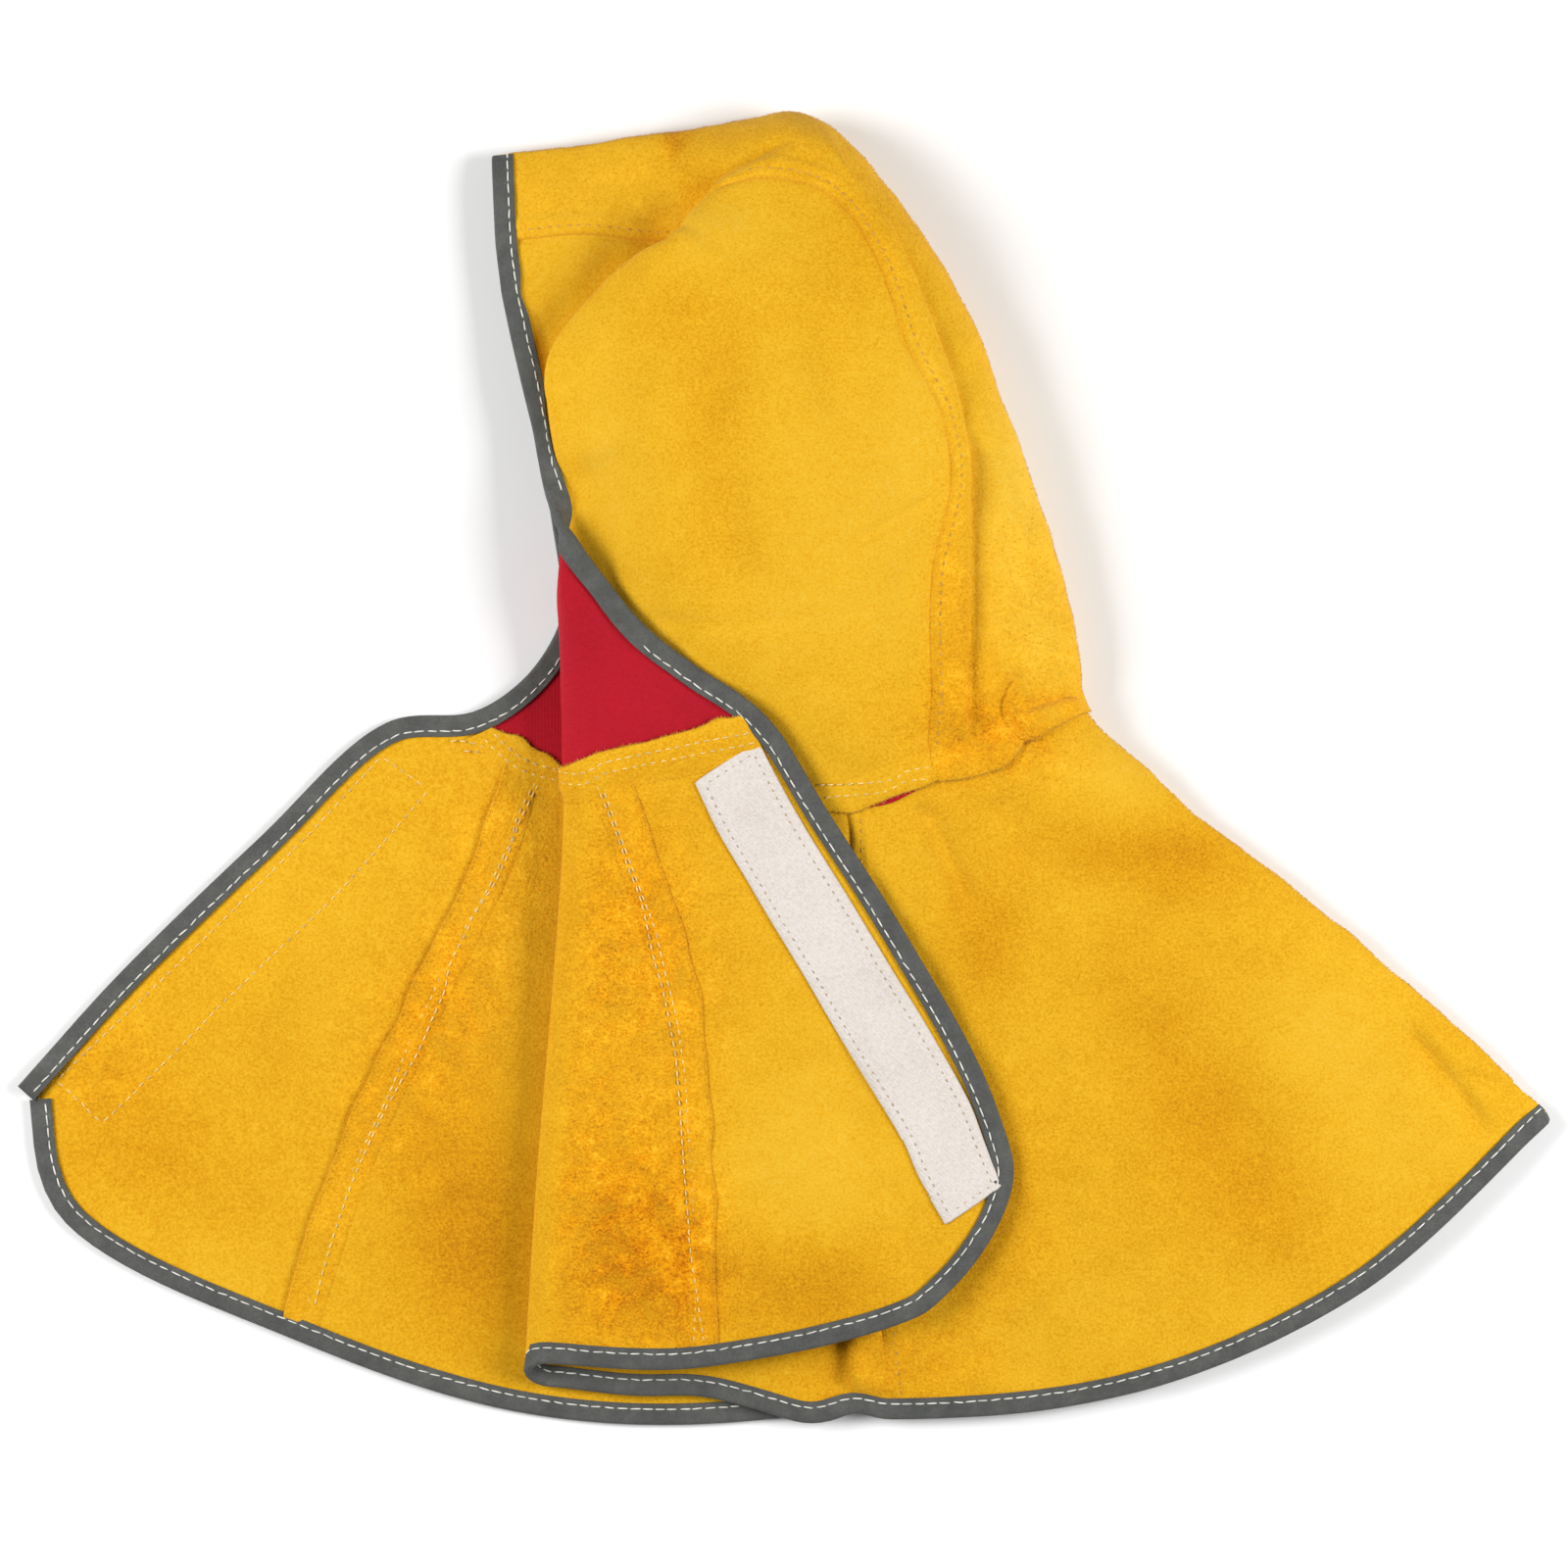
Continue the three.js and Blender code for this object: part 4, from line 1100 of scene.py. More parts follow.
def lap_over_front(column, sign, stitch, raw, thickness, curl):
    """The shoulder panel's raw edge over a front panel's inside. The distances are from the seam's column,
    away from the shoulder panel, which lies on the side that sign points away from. The raw edge curls up."""
    rows = np.arange(ROW["neck"], row_count - HEM_LINES)
    wobble = RAW_WOBBLE * lumps(skin[rows, column], RAW_WAVE, SEED["lap"])[:, None]
    start = stitch - LAP_LEAD
    distances = (start + (raw + wobble - start) * np.linspace(0, 1, LAP_LINES))[:, ::sign]
    places = across(column, sign * distances, rows)
    rise = thickness * smoothstep(start, stitch + LAP_SLOPE, distances)
    rise = rise + curl * smoothstep(raw - LAP_CURL_WIDTH, raw, distances)
    rise = rise - STITCH_SINK * hump(distances, stitch, LAP_SINK_WIDTH)
    height = -LEATHER / 2 - LAP_GAP - rise
    raw_line = -1 if sign > 0 else 0
    raw_places = tuple(p[:, raw_line] for p in places)
    return sheet_at(places, height + LEATHER, height, LAP_NAP), (raw_places, height[:, raw_line])


# Stitches

STITCH_RINGS = 5
STITCH_SIDES = 6
# The first stitch starts at this share of a pitch, and each one strays by these shares
STITCH_START = 0.3
STITCH_STRAY = 0.06
STITCH_LENGTHS = (0.88, 1.08)
STITCH_YAW = 0.05
# Shape of one stitch: how full it is along its length, and where it lies, in thicknesses
STITCH_FULLNESS = 0.4
STITCH_RISE = (0.75, 0.35)
STITCH_TIP = 0.55

# Threads of the seams, the hook tape, the loop tape and the binding
SEAM_THREAD = dict(pitch=0.0050, length=0.0034, thickness=0.0008)
HOOK_THREAD = dict(pitch=0.0050, length=0.0034, thickness=0.0007)
LOOP_THREAD = dict(pitch=0.0046, length=0.0026, thickness=0.0007)
BINDING_THREAD = dict(pitch=0.0064, length=0.0055, thickness=0.0008)


def along_line(values, index):
    """Values of a line at fractional indices."""
    a = np.clip(index.astype(int), 0, len(values) - 2)
    share = (index - a)[..., None]
    return values[a] * (1 - share) + values[a + 1] * share


def stitch_line(points, normals, seed, pitch, length, thickness):
    """Points and faces of the stitches along a line, each a short round thread that dips in at both ends."""
    random = np.random.default_rng(seed)
    lengths = lengths_along(points, 0)
    starts = np.arange(pitch * STITCH_START, lengths[-1] - length, pitch)
    starts = starts + random.uniform(-STITCH_STRAY, STITCH_STRAY, len(starts)) * pitch
    shares = np.linspace(0, 1, STITCH_RINGS)
    at = starts[:, None] + length * random.uniform(*STITCH_LENGTHS, len(starts))[:, None] * shares
    index = np.interp(at, lengths, np.arange(len(points)))
    centres = along_line(points, index)
    up = unit(along_line(normals, index))
    clear = centres[..., 2].min(axis=1) > thickness / 2
    centres, up = centres[clear], up[clear]
    count = len(centres)
    ahead = unit(np.gradient(centres, axis=1))
    sideways = unit(np.cross(ahead, up))
    yaw = random.normal(0, STITCH_YAW, count)[:, None, None] * (shares - 0.5)[None, :, None] * length
    bulge = np.sin(math.pi * shares) ** STITCH_FULLNESS
    rise = thickness * (STITCH_RISE[0] * bulge - STITCH_RISE[1])
    centres = centres + sideways * yaw + up * rise[None, :, None]
    radius = thickness / 2 * (STITCH_TIP + (1 - STITCH_TIP) * bulge)
    angles = np.arange(STITCH_SIDES) * 2 * math.pi / STITCH_SIDES
    rings = centres[:, :, None] + radius[None, :, None, None] * (
        np.cos(angles)[:, None] * sideways[:, :, None] + np.sin(angles)[:, None] * up[:, :, None])
    vertex = np.arange(count * STITCH_RINGS * STITCH_SIDES).reshape(count, STITCH_RINGS, STITCH_SIDES)
    turned = np.roll(vertex, -1, axis=2)
    quads = np.stack([vertex[:, :-1], vertex[:, 1:], turned[:, 1:], turned[:, :-1]], axis=-1).reshape(-1, 4)
    last = STITCH_SIDES - 1
    ends = [np.stack([cap[:, k], cap[:, k + 1], cap[:, last - 1 - k], cap[:, last - k]], axis=-1)
            for cap in (vertex[:, 0], vertex[:, -1, ::-1]) for k in (0, 1)]
    return rings.reshape(-1, 3), np.concatenate([quads, *ends]), {}


def stitches_on(places, height, seed, thread):
    """Stitches along places of the surface. A height below zero puts them on the leather's inside."""
    normals = unit(sampled(facing, *places)) * math.copysign(1, height)
    return stitch_line(lifted(places, height), normals, seed, **thread)


def line_across(column, distance, rows):
    """Places at one distance from a column, one for each of the rows."""
    return tuple(p[:, 0] for p in across(column, np.array([distance]), rows))


def line_below(row, distance, columns):
    """Places at one distance down from a row, one for each of the columns."""
    return tuple(p[0] for p in below(row, np.array([distance]), columns))


# Fibres on the nap and along raw edges

# How much a fibre strays from its direction, bends, and is shorter than its length, and where its middle lies
FIBRE_STRAY = 0.45
FIBRE_BEND = 0.35
FIBRE_SHORTEST = 0.4
FIBRE_MIDDLE = 0.55
FIBRE_ANGLES = (0, 2.1, 4.2)
FIBRE_SIDES = len(FIBRE_ANGLES)
FIBRE_POINTS = 2 * FIBRE_SIDES + 1
FRAY_THICKNESS = 0.00022


def fibres(roots, directions, shortest, longest, thickness, seed):
    """Points and faces of loose fibres, each a bent three-sided strand that ends in a point."""
    random = np.random.default_rng(seed)
    count = len(roots)
    lengths = random.uniform(shortest, longest, (count, 1)) * random.uniform(FIBRE_SHORTEST, 1.0, (count, 1))
    directions = unit(directions + random.normal(0, FIBRE_STRAY, (count, 3)))
    bend = random.normal(0, FIBRE_BEND, (count, 3))
    side = unit(np.cross(directions, random.normal(0, 1, (count, 3))))
    other = np.cross(directions, side)
    middle = roots + directions * lengths * FIBRE_MIDDLE
    tip = roots + unit(directions + bend) * lengths
    circles = ((roots, thickness / 2), (middle, thickness / 3))
    rings = [centre + radius * (math.cos(angle) * side + math.sin(angle) * other)
             for centre, radius in circles for angle in FIBRE_ANGLES]
    points = raised(np.stack([*rings, tip], axis=1), JUST_CLEAR)
    first = np.arange(count)[:, None] * FIBRE_POINTS
    triangles = []
    for k in range(FIBRE_SIDES):
        n = (k + 1) % FIBRE_SIDES
        upper_k, upper_n = k + FIBRE_SIDES, n + FIBRE_SIDES
        triangles += [(k, n, upper_n), (k, upper_n, upper_k), (upper_k, upper_n, FIBRE_POINTS - 1)]
    faces = np.concatenate([first + np.array(t) for t in triangles])
    return points.reshape(-1, 3), faces, {}


def frayed(places, height, away, per_metre, shortest, longest, seed):
    """Fibres along a raw edge at places of the surface, pointing away from the leather."""
    random = np.random.default_rng(seed)
    line = lifted(places, height)
    lengths = lengths_along(line, 0)
    count = int(lengths[-1] * per_metre)
    index = np.interp(np.sort(random.uniform(0, lengths[-1], count)), lengths, np.arange(len(line)))
    return fibres(along_line(line, index), along_line(away, index), shortest, longest, FRAY_THICKNESS, seed)


# Building the leather pieces

HEAD = ("forehead", "neck")
SHOULDERS = ("neck", "hem")
PANELS = [
    dict(name="side_panel_left", columns=("edge", "seam"), rows=HEAD, seams=["right"]),
    dict(name="crown_strip", columns=("seam", "far_seam"), rows=HEAD, seams=["left", "right", "bottom"],
         bands=[("left", TOPSTITCH), ("right", TOPSTITCH)]),
    dict(name="side_panel_right", columns=("far_seam", "far_edge"), rows=HEAD, seams=["left", "bottom"]),
    dict(name="cape_front_left", columns=("edge", "lapel"), rows=SHOULDERS, seams=["right", "top"]),
    dict(name="cape_shoulder_left", columns=("lapel", "flank"), rows=SHOULDERS, seams=["left", "right"]),
    dict(name="cape_back", columns=("flank", "far_flank"), rows=SHOULDERS, seams=["left", "right"],
         bands=[("left", FLANK_STITCH), ("right", FLANK_STITCH)]),
    dict(name="cape_shoulder_right", columns=("far_flank", "far_front"), rows=SHOULDERS,
         seams=["left", "right"]),
    dict(name="cape_front_right", columns=("far_front", "far_edge"), rows=SHOULDERS, seams=["left"]),
]

# The laps of the shoulder panels over the fronts' insides
LEFT_LAP = dict(stitch=-0.004, raw=0.0095, thickness=0.0008, curl=0.0001)
RIGHT_LAP = dict(stitch=-0.001, raw=0.0115, thickness=0.0014, curl=0.0009)
left_lap, left_raw = lap_over_front(COLUMN["lapel"], -1, **LEFT_LAP)
right_lap, right_raw = lap_over_front(COLUMN["far_front"], 1, **RIGHT_LAP)

# At the neck the hood laps over the cape outside, and the cape's raw top lies over the lining inside
LIP_THICKNESS = 0.0013
INSIDE_LAP = LEATHER / 2 + LAYER_GAP + LINING + LAYER_GAP + LIP_THICKNESS
LIP_HEIGHTS = LEATHER / 2 + np.array([-0.0004, 0.0003, 0.0007, 0.0012, 0.0015, 0.0017, 0.0018, 0.0019])
INSIDE_HEIGHTS = -np.array([LEATHER / 2 - 0.0004, LEATHER / 2 + 0.0005, 0.0018, INSIDE_LAP - 0.0003,
                            INSIDE_LAP, INSIDE_LAP, INSIDE_LAP + 0.0002, INSIDE_LAP + 0.0005])
# Where the strips start, above the neck seam for a lip and below it for the cape's raw top
SIDE_LIP_START = -0.016
STRIP_LIP_START = -0.014
CAPE_TOP_START = 0.018
# How far each hangs past the seam: most at a photograph pixel across the page, over a half width, and least
# elsewhere
SIDE_OVERHANG = dict(centre=840, width=40, most=0.0015, least=0.0008)
STRIP_OVERHANG = dict(centre=1004, width=34, most=0.0085, least=0.001)
LAPEL_OVERHANG = dict(centre=760, width=60, most=0.0085, least=0.006)
RIGHT_OVERHANG = dict(centre=540, width=60, most=0.0060, least=0.004)
OVERHANG_WAVE = 0.01
# The turned-back fold crosses the neck at this photograph pixel, and draws the raw top down beside it
FOLD_PLACE = 577
FOLD_DIP = 0.0042
FOLD_DIP_WIDTH = 0.009
# The cape's raw top starts clear of the binding, and on the right it grows over these distances from the edge
BINDING_COVER = 0.0102
RIGHT_GROWTH = (0.008, 0.024)
STRIP_LIP_NAP = 0.05
CAPE_TOP_NAP = 0.1

neck = ROW["neck"]
from_left_edge = across_lengths[neck]
from_right_edge = from_left_edge[-1] - from_left_edge
every_column = np.arange(column_count)
strip_columns = np.arange(COLUMN["seam"], COLUMN["rim"] + 1)
side_columns = np.arange(COLUMN["fold_low"], COLUMN["seam"] + 1)
lapel_columns = np.flatnonzero((from_left_edge > BINDING_COVER) & (every_column <= COLUMN["fold_side"]))
right_columns = np.flatnonzero((from_right_edge > BINDING_COVER) & (every_column >= COLUMN["far_mid"]))


def overhang(columns, centre, width, most, least):
    """How far a lip hangs past the neck seam, most at a pixel place across and least elsewhere."""
    away = (plan_skin[neck, columns, 0] - page_x(centre)) / (width * PIXEL)
    wobble = RAW_WOBBLE * lumps(plan_skin[neck, columns], OVERHANG_WAVE, SEED["overhang"])
    return least + (most - least) * np.exp(-(away**2)) + wobble


def fold_dip(columns):
    """How far the cape's raw top is drawn down beside the turned-back fold."""
    away = (plan_skin[neck, columns, 0] - page_x(FOLD_PLACE)) / FOLD_DIP_WIDTH
    return FOLD_DIP * np.exp(-(away**2))


def neck_strip(columns, top, ends, heights):
    """Places of a strip across the neck seam, from a distance below it to the ends, and their heights."""
    distances = top + (ends[:, None] - top) * np.linspace(0, 1, len(heights))
    return below(neck, distances, columns), np.repeat(np.asarray(heights)[:, None], len(columns), axis=1)


def neck_sheet(columns, top, ends, heights, more_nap=0.0):
    """A strip of leather across the neck seam, and its places with their heights."""
    places, strip_heights = neck_strip(columns, top, ends, heights)
    other_face = strip_heights - math.copysign(LIP_THICKNESS, heights[-1])
    return sheet_at(places, strip_heights, other_face, more_nap), (places, strip_heights)


side_ends = overhang(side_columns, **SIDE_OVERHANG)
strip_ends = overhang(strip_columns, **STRIP_OVERHANG)
lapel_ends = fold_dip(lapel_columns) - overhang(lapel_columns, **LAPEL_OVERHANG)
right_growth = smoothstep(*RIGHT_GROWTH, from_right_edge[right_columns])
right_ends = fold_dip(right_columns) - overhang(right_columns, **RIGHT_OVERHANG) * right_growth
side_lip, side_lip_edge = neck_sheet(side_columns, SIDE_LIP_START, side_ends, LIP_HEIGHTS)
strip_lip, strip_lip_edge = neck_sheet(strip_columns, STRIP_LIP_START, strip_ends, LIP_HEIGHTS, STRIP_LIP_NAP)
lapel_top, lapel_top_edge = neck_sheet(lapel_columns, CAPE_TOP_START, lapel_ends, INSIDE_HEIGHTS,
                                       CAPE_TOP_NAP)
right_top, right_top_edge = neck_sheet(right_columns, CAPE_TOP_START, right_ends, INSIDE_HEIGHTS,
                                       CAPE_TOP_NAP)

EXTRA_SHELLS = {
    "side_panel_left": [side_lip],
    "crown_strip": [strip_lip],
    "cape_front_left": [lapel_top],
    "cape_shoulder_left": [left_lap],
    "cape_shoulder_right": [right_lap],
    "cape_front_right": [right_top],
}

for panel in PANELS:
    name = panel["name"]
    places, main = leather_panel(panel["columns"], panel["rows"], panel["seams"], panel.get("bands", ()))
    made = new_object(name, joined([main, *EXTRA_SHELLS.get(name, [])]), suede, is_node=True)
    flat, area = flat_size(places)

# Lining, which hangs clear of the creases inside the hood, and peeks out below the side panel at one place
LINING_HANG = 0.0045
HANG_REACH = (0.014, 0.034)
PEEK_HEIGHTS = LEATHER / 2 + np.array([0.0001, 0.0002, 0.0003, 0.0004])
PEEK_THICKNESS = 0.0005
PEEK_START = -0.004
PEEK_OVERHANG = dict(centre=908, width=24, most=0.0038, least=0.0006)
PEEK_HALF = 34 * PIXEL
lining_places = np.meshgrid(np.arange(1.0, neck + 1), np.arange(2.0, column_count - 1), indexing="ij")
hanging = LAYERS["near"] * smoothstep(*HANG_REACH, from_bound_edge)
lining_height = -LEATHER / 2 - LAYER_GAP - LINING_HANG * sampled(hanging, *lining_places)
main_lining = sheet_at(lining_places, lining_height, lining_height - LINING)
from_peek = np.abs(plan_skin[neck, side_columns, 0] - page_x(PEEK_OVERHANG["centre"]))
peek_columns = side_columns[from_peek < PEEK_HALF]
peek_ends = overhang(peek_columns, **PEEK_OVERHANG)
peek_places, peek_heights = neck_strip(peek_columns, PEEK_START, peek_ends, PEEK_HEIGHTS)
peek = sheet_at(peek_places, peek_heights + PEEK_THICKNESS, peek_heights)
lining_parts = unpainted(joined([main_lining, peek]))
lining = new_object("lining", lining_parts, red_cotton, is_node=True)
flat, area = flat_size(lining_places)

# Binding: one folded strip round the whole edge, whose legs lie over both faces of the leather. It starts on
# the hem beside its own end at the right front corner, and the end stands out past that corner.

# Least distance between two sections, and how far from the corner the strip starts and ends
BINDING_STATION = 0.0026
BINDING_START = 0.002
BINDING_END = 0.009
# Room that the fold leaves round the leather's edge, and the binding's lowest height
BINDING_SLOT = 0.0005
BINDING_CLEAR = 0.0008
# At its end the fold opens by this much to take in its own start, growing between these distances from it
OVER_START = 0.0020
OVER_REACH = (0.030, 0.018)
BINDING_STITCH = 0.0068
# The grid's normals are used where its rows and columns cross at an angle with at least this sine
SOUND_SINE = 0.4
# Where the front edge turns over, the binding has no stitches
TURN_ROWS = (ROW["upper_back"], ROW["nape_top"])
# Places along a leg from the leather's edge to the lip, and the angles round the nose, outside and inside
LIP = BINDING_WIDTH - BINDING_WALL - BINDING_SLOT
LEG = np.array([0.0, 0.0012, 0.003, 0.0052, 0.0075, LIP - 0.0005, LIP])
NOSE_ANGLES = (0.6, 1.2, 1.95, 2.55)
INNER_NOSE_ANGLES = (2.4, 1.57, 0.75)
# The legs swell unevenly: height and size of the lumps, height and pitch of a wave, and where both fade
LEG_LUMP = 0.00030
LEG_LUMP_SIZE = 0.006
LEG_WAVE = 0.00022
LEG_WAVE_PITCH = 0.0087
SWELL_START = 0.004
SWELL_END = 0.002
SWELL_LEAST = 0.25
# Steps in from the edge that find a leg's section, how far they go, and the tries and longest stride for each
LEG_STEPS = 14
LEG_REACH = 1.15 * LIP
LEG_TRIES = 3
LEG_STRIDE = 1.5
LEAST_TURN = 1e-8
# Passes that soften the edge, its normals, its direction and the legs' sections
EDGE_PASSES = 1
NORMAL_PASSES = 3
ALONG_PASSES = 2
PROFILE_PASSES = 3


def bound_edge():
    """Grid places round the bound edge, each with the grid step that leads into its panel."""
    last_row, last_column = row_count - 1, column_count - 1
    stations = [(last_row, i, -1, 0) for i in range(last_column, 0, -1)]
    stations += [(j, 0, 0, 1) for j in range(last_row, 0, -1)]
    stations += [(0, i, 1, 0) for i in range(last_column)]
    stations += [(j, last_column, 0, -1) for j in range(row_count)]
    kept = [stations[0]]
    for station in stations[1:]:
        if np.linalg.norm(skin[station[:2]] - skin[kept[-1][:2]]) >= BINDING_STATION:
            kept.append(station)
    return kept


def is_sound(stations):
    """Where the grid's rows and columns cross at a clear angle, so that its normals can be used."""
    crossing = np.cross(unit(np.gradient(skin, axis=0)), unit(np.gradient(skin, axis=1)))
    sines = np.linalg.norm(crossing, axis=-1)
    return np.array([sines[station[:2]] > SOUND_SINE for station in stations])


def bridged(values, sound):
    """The same values, with those at unsound places drawn straight between their sound neighbours."""
    index = np.arange(len(values))
    lines = values.reshape(len(values), -1).T
    filled = [np.interp(index, index[sound], line[sound]) for line in lines]
    return np.stack(filled, axis=1).reshape(values.shape)


def leg_profiles(stations, along, inward, normals):
    """The leather's section at right angles to the edge at each station, as distances in and up at each place
    of LEG. The places are found by stepping over the grid, straight in from the edge."""
    rows, columns = (np.array([station[k] for station in stations], float) for k in (0, 1))
    start = sampled(skin, rows, columns)
    found = [start]
    for step in np.linspace(0, LEG_REACH, LEG_STEPS)[1:]:
        for _ in range(LEG_TRIES):
            offset = sampled(skin, rows, columns) - start
            by_row = sampled(skin, rows + 0.5, columns) - sampled(skin, rows - 0.5, columns)
            by_column = sampled(skin, rows, columns + 0.5) - sampled(skin, rows, columns - 0.5)
            a, b = ((by_row * axis).sum(axis=1) for axis in (along, inward))
            c, d = ((by_column * axis).sum(axis=1) for axis in (along, inward))
            turn = a * d - b * c
            turn = np.where(np.abs(turn) < LEAST_TURN, LEAST_TURN, turn)
            aside = -(offset * along).sum(axis=1)
            ahead = step - (offset * inward).sum(axis=1)
            more_rows = np.clip((aside * d - ahead * c) / turn, -LEG_STRIDE, LEG_STRIDE)
            more_columns = np.clip((a * ahead - b * aside) / turn, -LEG_STRIDE, LEG_STRIDE)
            rows = np.clip(rows + more_rows, 0, row_count - 1)
            columns = np.clip(columns + more_columns, 0, column_count - 1)
        found.append(sampled(skin, rows, columns))
    profiles = np.zeros((len(stations), len(LEG), 2))
    for k in range(len(stations)):
        offsets = np.array([place[k] for place in found]) - start[k]
        line = np.stack([offsets @ inward[k], offsets @ normals[k]], axis=1)
        run = lengths_along(line, 0)
        profiles[k] = np.stack([np.interp(LEG, run, line[:, axis]) for axis in (0, 1)], axis=1)
    return profiles


def binding_sections():
    """Sections of the binding along the edge, and the runs of stitches on both legs with their normals."""
    stations = bound_edge()
    edge = softened(np.array([skin[s[:2]] for s in stations]), EDGE_PASSES)
    sound = is_sound(stations)
    normals = bridged(np.array([facing[s[:2]] for s in stations]), sound)
    normals = unit(softened(normals, NORMAL_PASSES))
    first = int(np.argmax(lengths_along(edge, 0) > BINDING_START))
    stations, edge, normals, sound = stations[first:], edge[first:], normals[first:], sound[first:]
    along = unit(np.gradient(edge, axis=0))
    tail = edge[-1] + along[-1] * BINDING_END * np.array([[0.5], [1.0]])
    stations = stations + stations[-1:] * 2
    edge = np.concatenate([edge, tail])
    normals = np.concatenate([normals, normals[-1:], normals[-1:]])
    along = unit(softened(np.concatenate([along, along[-1:], along[-1:]]), ALONG_PASSES))
    inward = unit(np.cross(along, normals))
    normals = unit(np.cross(inward, along))
    sound = np.concatenate([sound, sound[-1:], sound[-1:]])
    profiles = bridged(leg_profiles(stations, along, inward, normals), sound)
    profiles = softened(profiles, PROFILE_PASSES)
    slopes = unit(np.gradient(profiles, LEG, axis=1))
    lengths = lengths_along(edge, 0)
    ripple = LEG_LUMP * lumps(edge, LEG_LUMP_SIZE, SEED["ripple"])
    ripple = ripple + LEG_WAVE * np.sin(2 * math.pi * lengths / LEG_WAVE_PITCH)
    over_start = OVER_START / 2 * smoothstep(*(lengths[-1] - reach for reach in OVER_REACH), lengths)
    edge = edge + np.array([0, 0, 1]) * over_start[:, None]
    sections, stitches = [], {1: [[]], -1: [[]]}
    for k, station in enumerate(stations):
        slot = LEATHER / 2 + BINDING_SLOT + over_start[k]
        has_lining = station[0] <= ROW["neck"]
        depth = {1: slot, -1: slot + (LINING + 2 * LAYER_GAP if has_lining else 0)}

        def leg(side, wall):
            swell = ripple[k] * np.clip(LEG / SWELL_START, 0, 1)
            swell = swell * np.clip((LIP - LEG) / SWELL_END, SWELL_LEAST, 1)
            heights = side * (depth[side] + wall + (swell if wall else 0))
            ahead = profiles[k, :, 0] - slopes[k, :, 1] * heights
            upward = profiles[k, :, 1] + slopes[k, :, 0] * heights
            return edge[k] + inward[k] * ahead[:, None] + normals[k] * upward[:, None]

        def nose(wall, angles):
            reach = (depth[1] + depth[-1]) / 2 + wall
            middle = edge[k] + normals[k] * (depth[1] - depth[-1]) / 2
            out = BINDING_SLOT + wall
            return np.array([middle + normals[k] * reach * math.cos(a) - inward[k] * out * math.sin(a)
                             for a in angles])

        upper, lower = (raised(leg(side, BINDING_WALL), BINDING_CLEAR) for side in (1, -1))
        sections.append(np.concatenate([upper[::-1], nose(BINDING_WALL, NOSE_ANGLES), lower,
                                        leg(-1, 0)[::-1], nose(0, INNER_NOSE_ANGLES), leg(1, 0)]))
        for side, outside in ((1, upper), (-1, lower)):
            place = [np.interp(BINDING_STITCH, LEG, outside[:, axis]) for axis in range(3)]
            if station[1] == 0 and TURN_ROWS[0] < station[0] < TURN_ROWS[1]:
                stitches[side].append([])
            else:
                stitches[side][-1].append((place, side * normals[k]))
    return raised(np.array(sections), BINDING_CLEAR), stitches


def end_cap(section):
    """Faces across the binding at an end, between its outer and its inner wall."""
    half = len(section) // 2
    outer, inner = section[:half], section[::-1][:half]
    return np.stack([outer[:-1], outer[1:], inner[1:], inner[:-1]], axis=-1)


sections, binding_stitches = binding_sections()
section_count, side_count = sections.shape[:2]
vertex = np.arange(section_count * side_count).reshape(section_count, side_count)
turned = np.roll(vertex, -1, axis=1)
quads = np.stack([vertex[:-1], vertex[1:], turned[1:], turned[:-1]], axis=-1).reshape(-1, 4)
faces = np.concatenate([quads, end_cap(vertex[0]), end_cap(vertex[-1])[:, ::-1]])
binding = new_object("edge_binding", (sections.reshape(-1, 3), faces, {}), bias, is_node=True)


# Fastening tapes

# The long edges of the two tapes, as photograph pixels from the neck down, the edge beside the binding first
LOOP_EDGES = ([(773, 757), (798, 805), (833, 865), (870, 925), (919, 1005), (955, 1065), (988, 1125),
               (1003, 1165), (1020, 1209)],
              [(711, 798), (733, 845), (768, 905), (816, 985), (851, 1045), (888, 1105), (923, 1165),
               (941, 1205), (965, 1247)])
HOOK_EDGES = ([(389, 766), (304, 856), (222, 938), (134, 1024), (88, 1067), (52, 1102)],
              [(444, 803), (345, 915), (287, 971), (227, 1029), (145, 1112), (103, 1151)])
# The stitches lie this far in from a tape's edges, and sink into its face
LOOP_STITCH = 0.0044
HOOK_STITCH = 0.0020
TAPE_SINK = 0.0005
TAPE_SINK_WIDTH = 0.0012
# Points of a line of stitches along a tape and across its end
TAPE_BORDER_POINTS = (120, 24)


def tape_places(layer, outer, inner):
    """Places of a tape on a layer, between its two long edges."""
    outer, inner = np.array(outer, float), np.array(inner, float)
    lines = [traced(layer, between(outer, inner, share)) for share in np.linspace(0, 1, TAPE_LINES)]
    return tuple(np.stack(values, axis=1) for values in zip(*lines))


def tape_object(name, places, side, stitch, material):
    """A tape on the leather's outside or inside, sunk along each edge where a line of stitches goes."""
    base = side * (LEATHER / 2 + LAYER_GAP)
    lines = np.arange(TAPE_LINES)
    margin = np.minimum(lines, lines[::-1])[None, :] * TAPE_WIDTH / (TAPE_LINES - 1)
    low = np.full(places[0].shape, base)
    top = low + side * TAPE - side * TAPE_SINK * hump(margin, stitch, TAPE_SINK_WIDTH)
    upper, lower = (top, low) if side > 0 else (low, top)
    parts = unpainted(sheet_at(places, upper, lower))
    made = new_object(name, parts, material, is_node=True)
    surface = lifted(places, top)


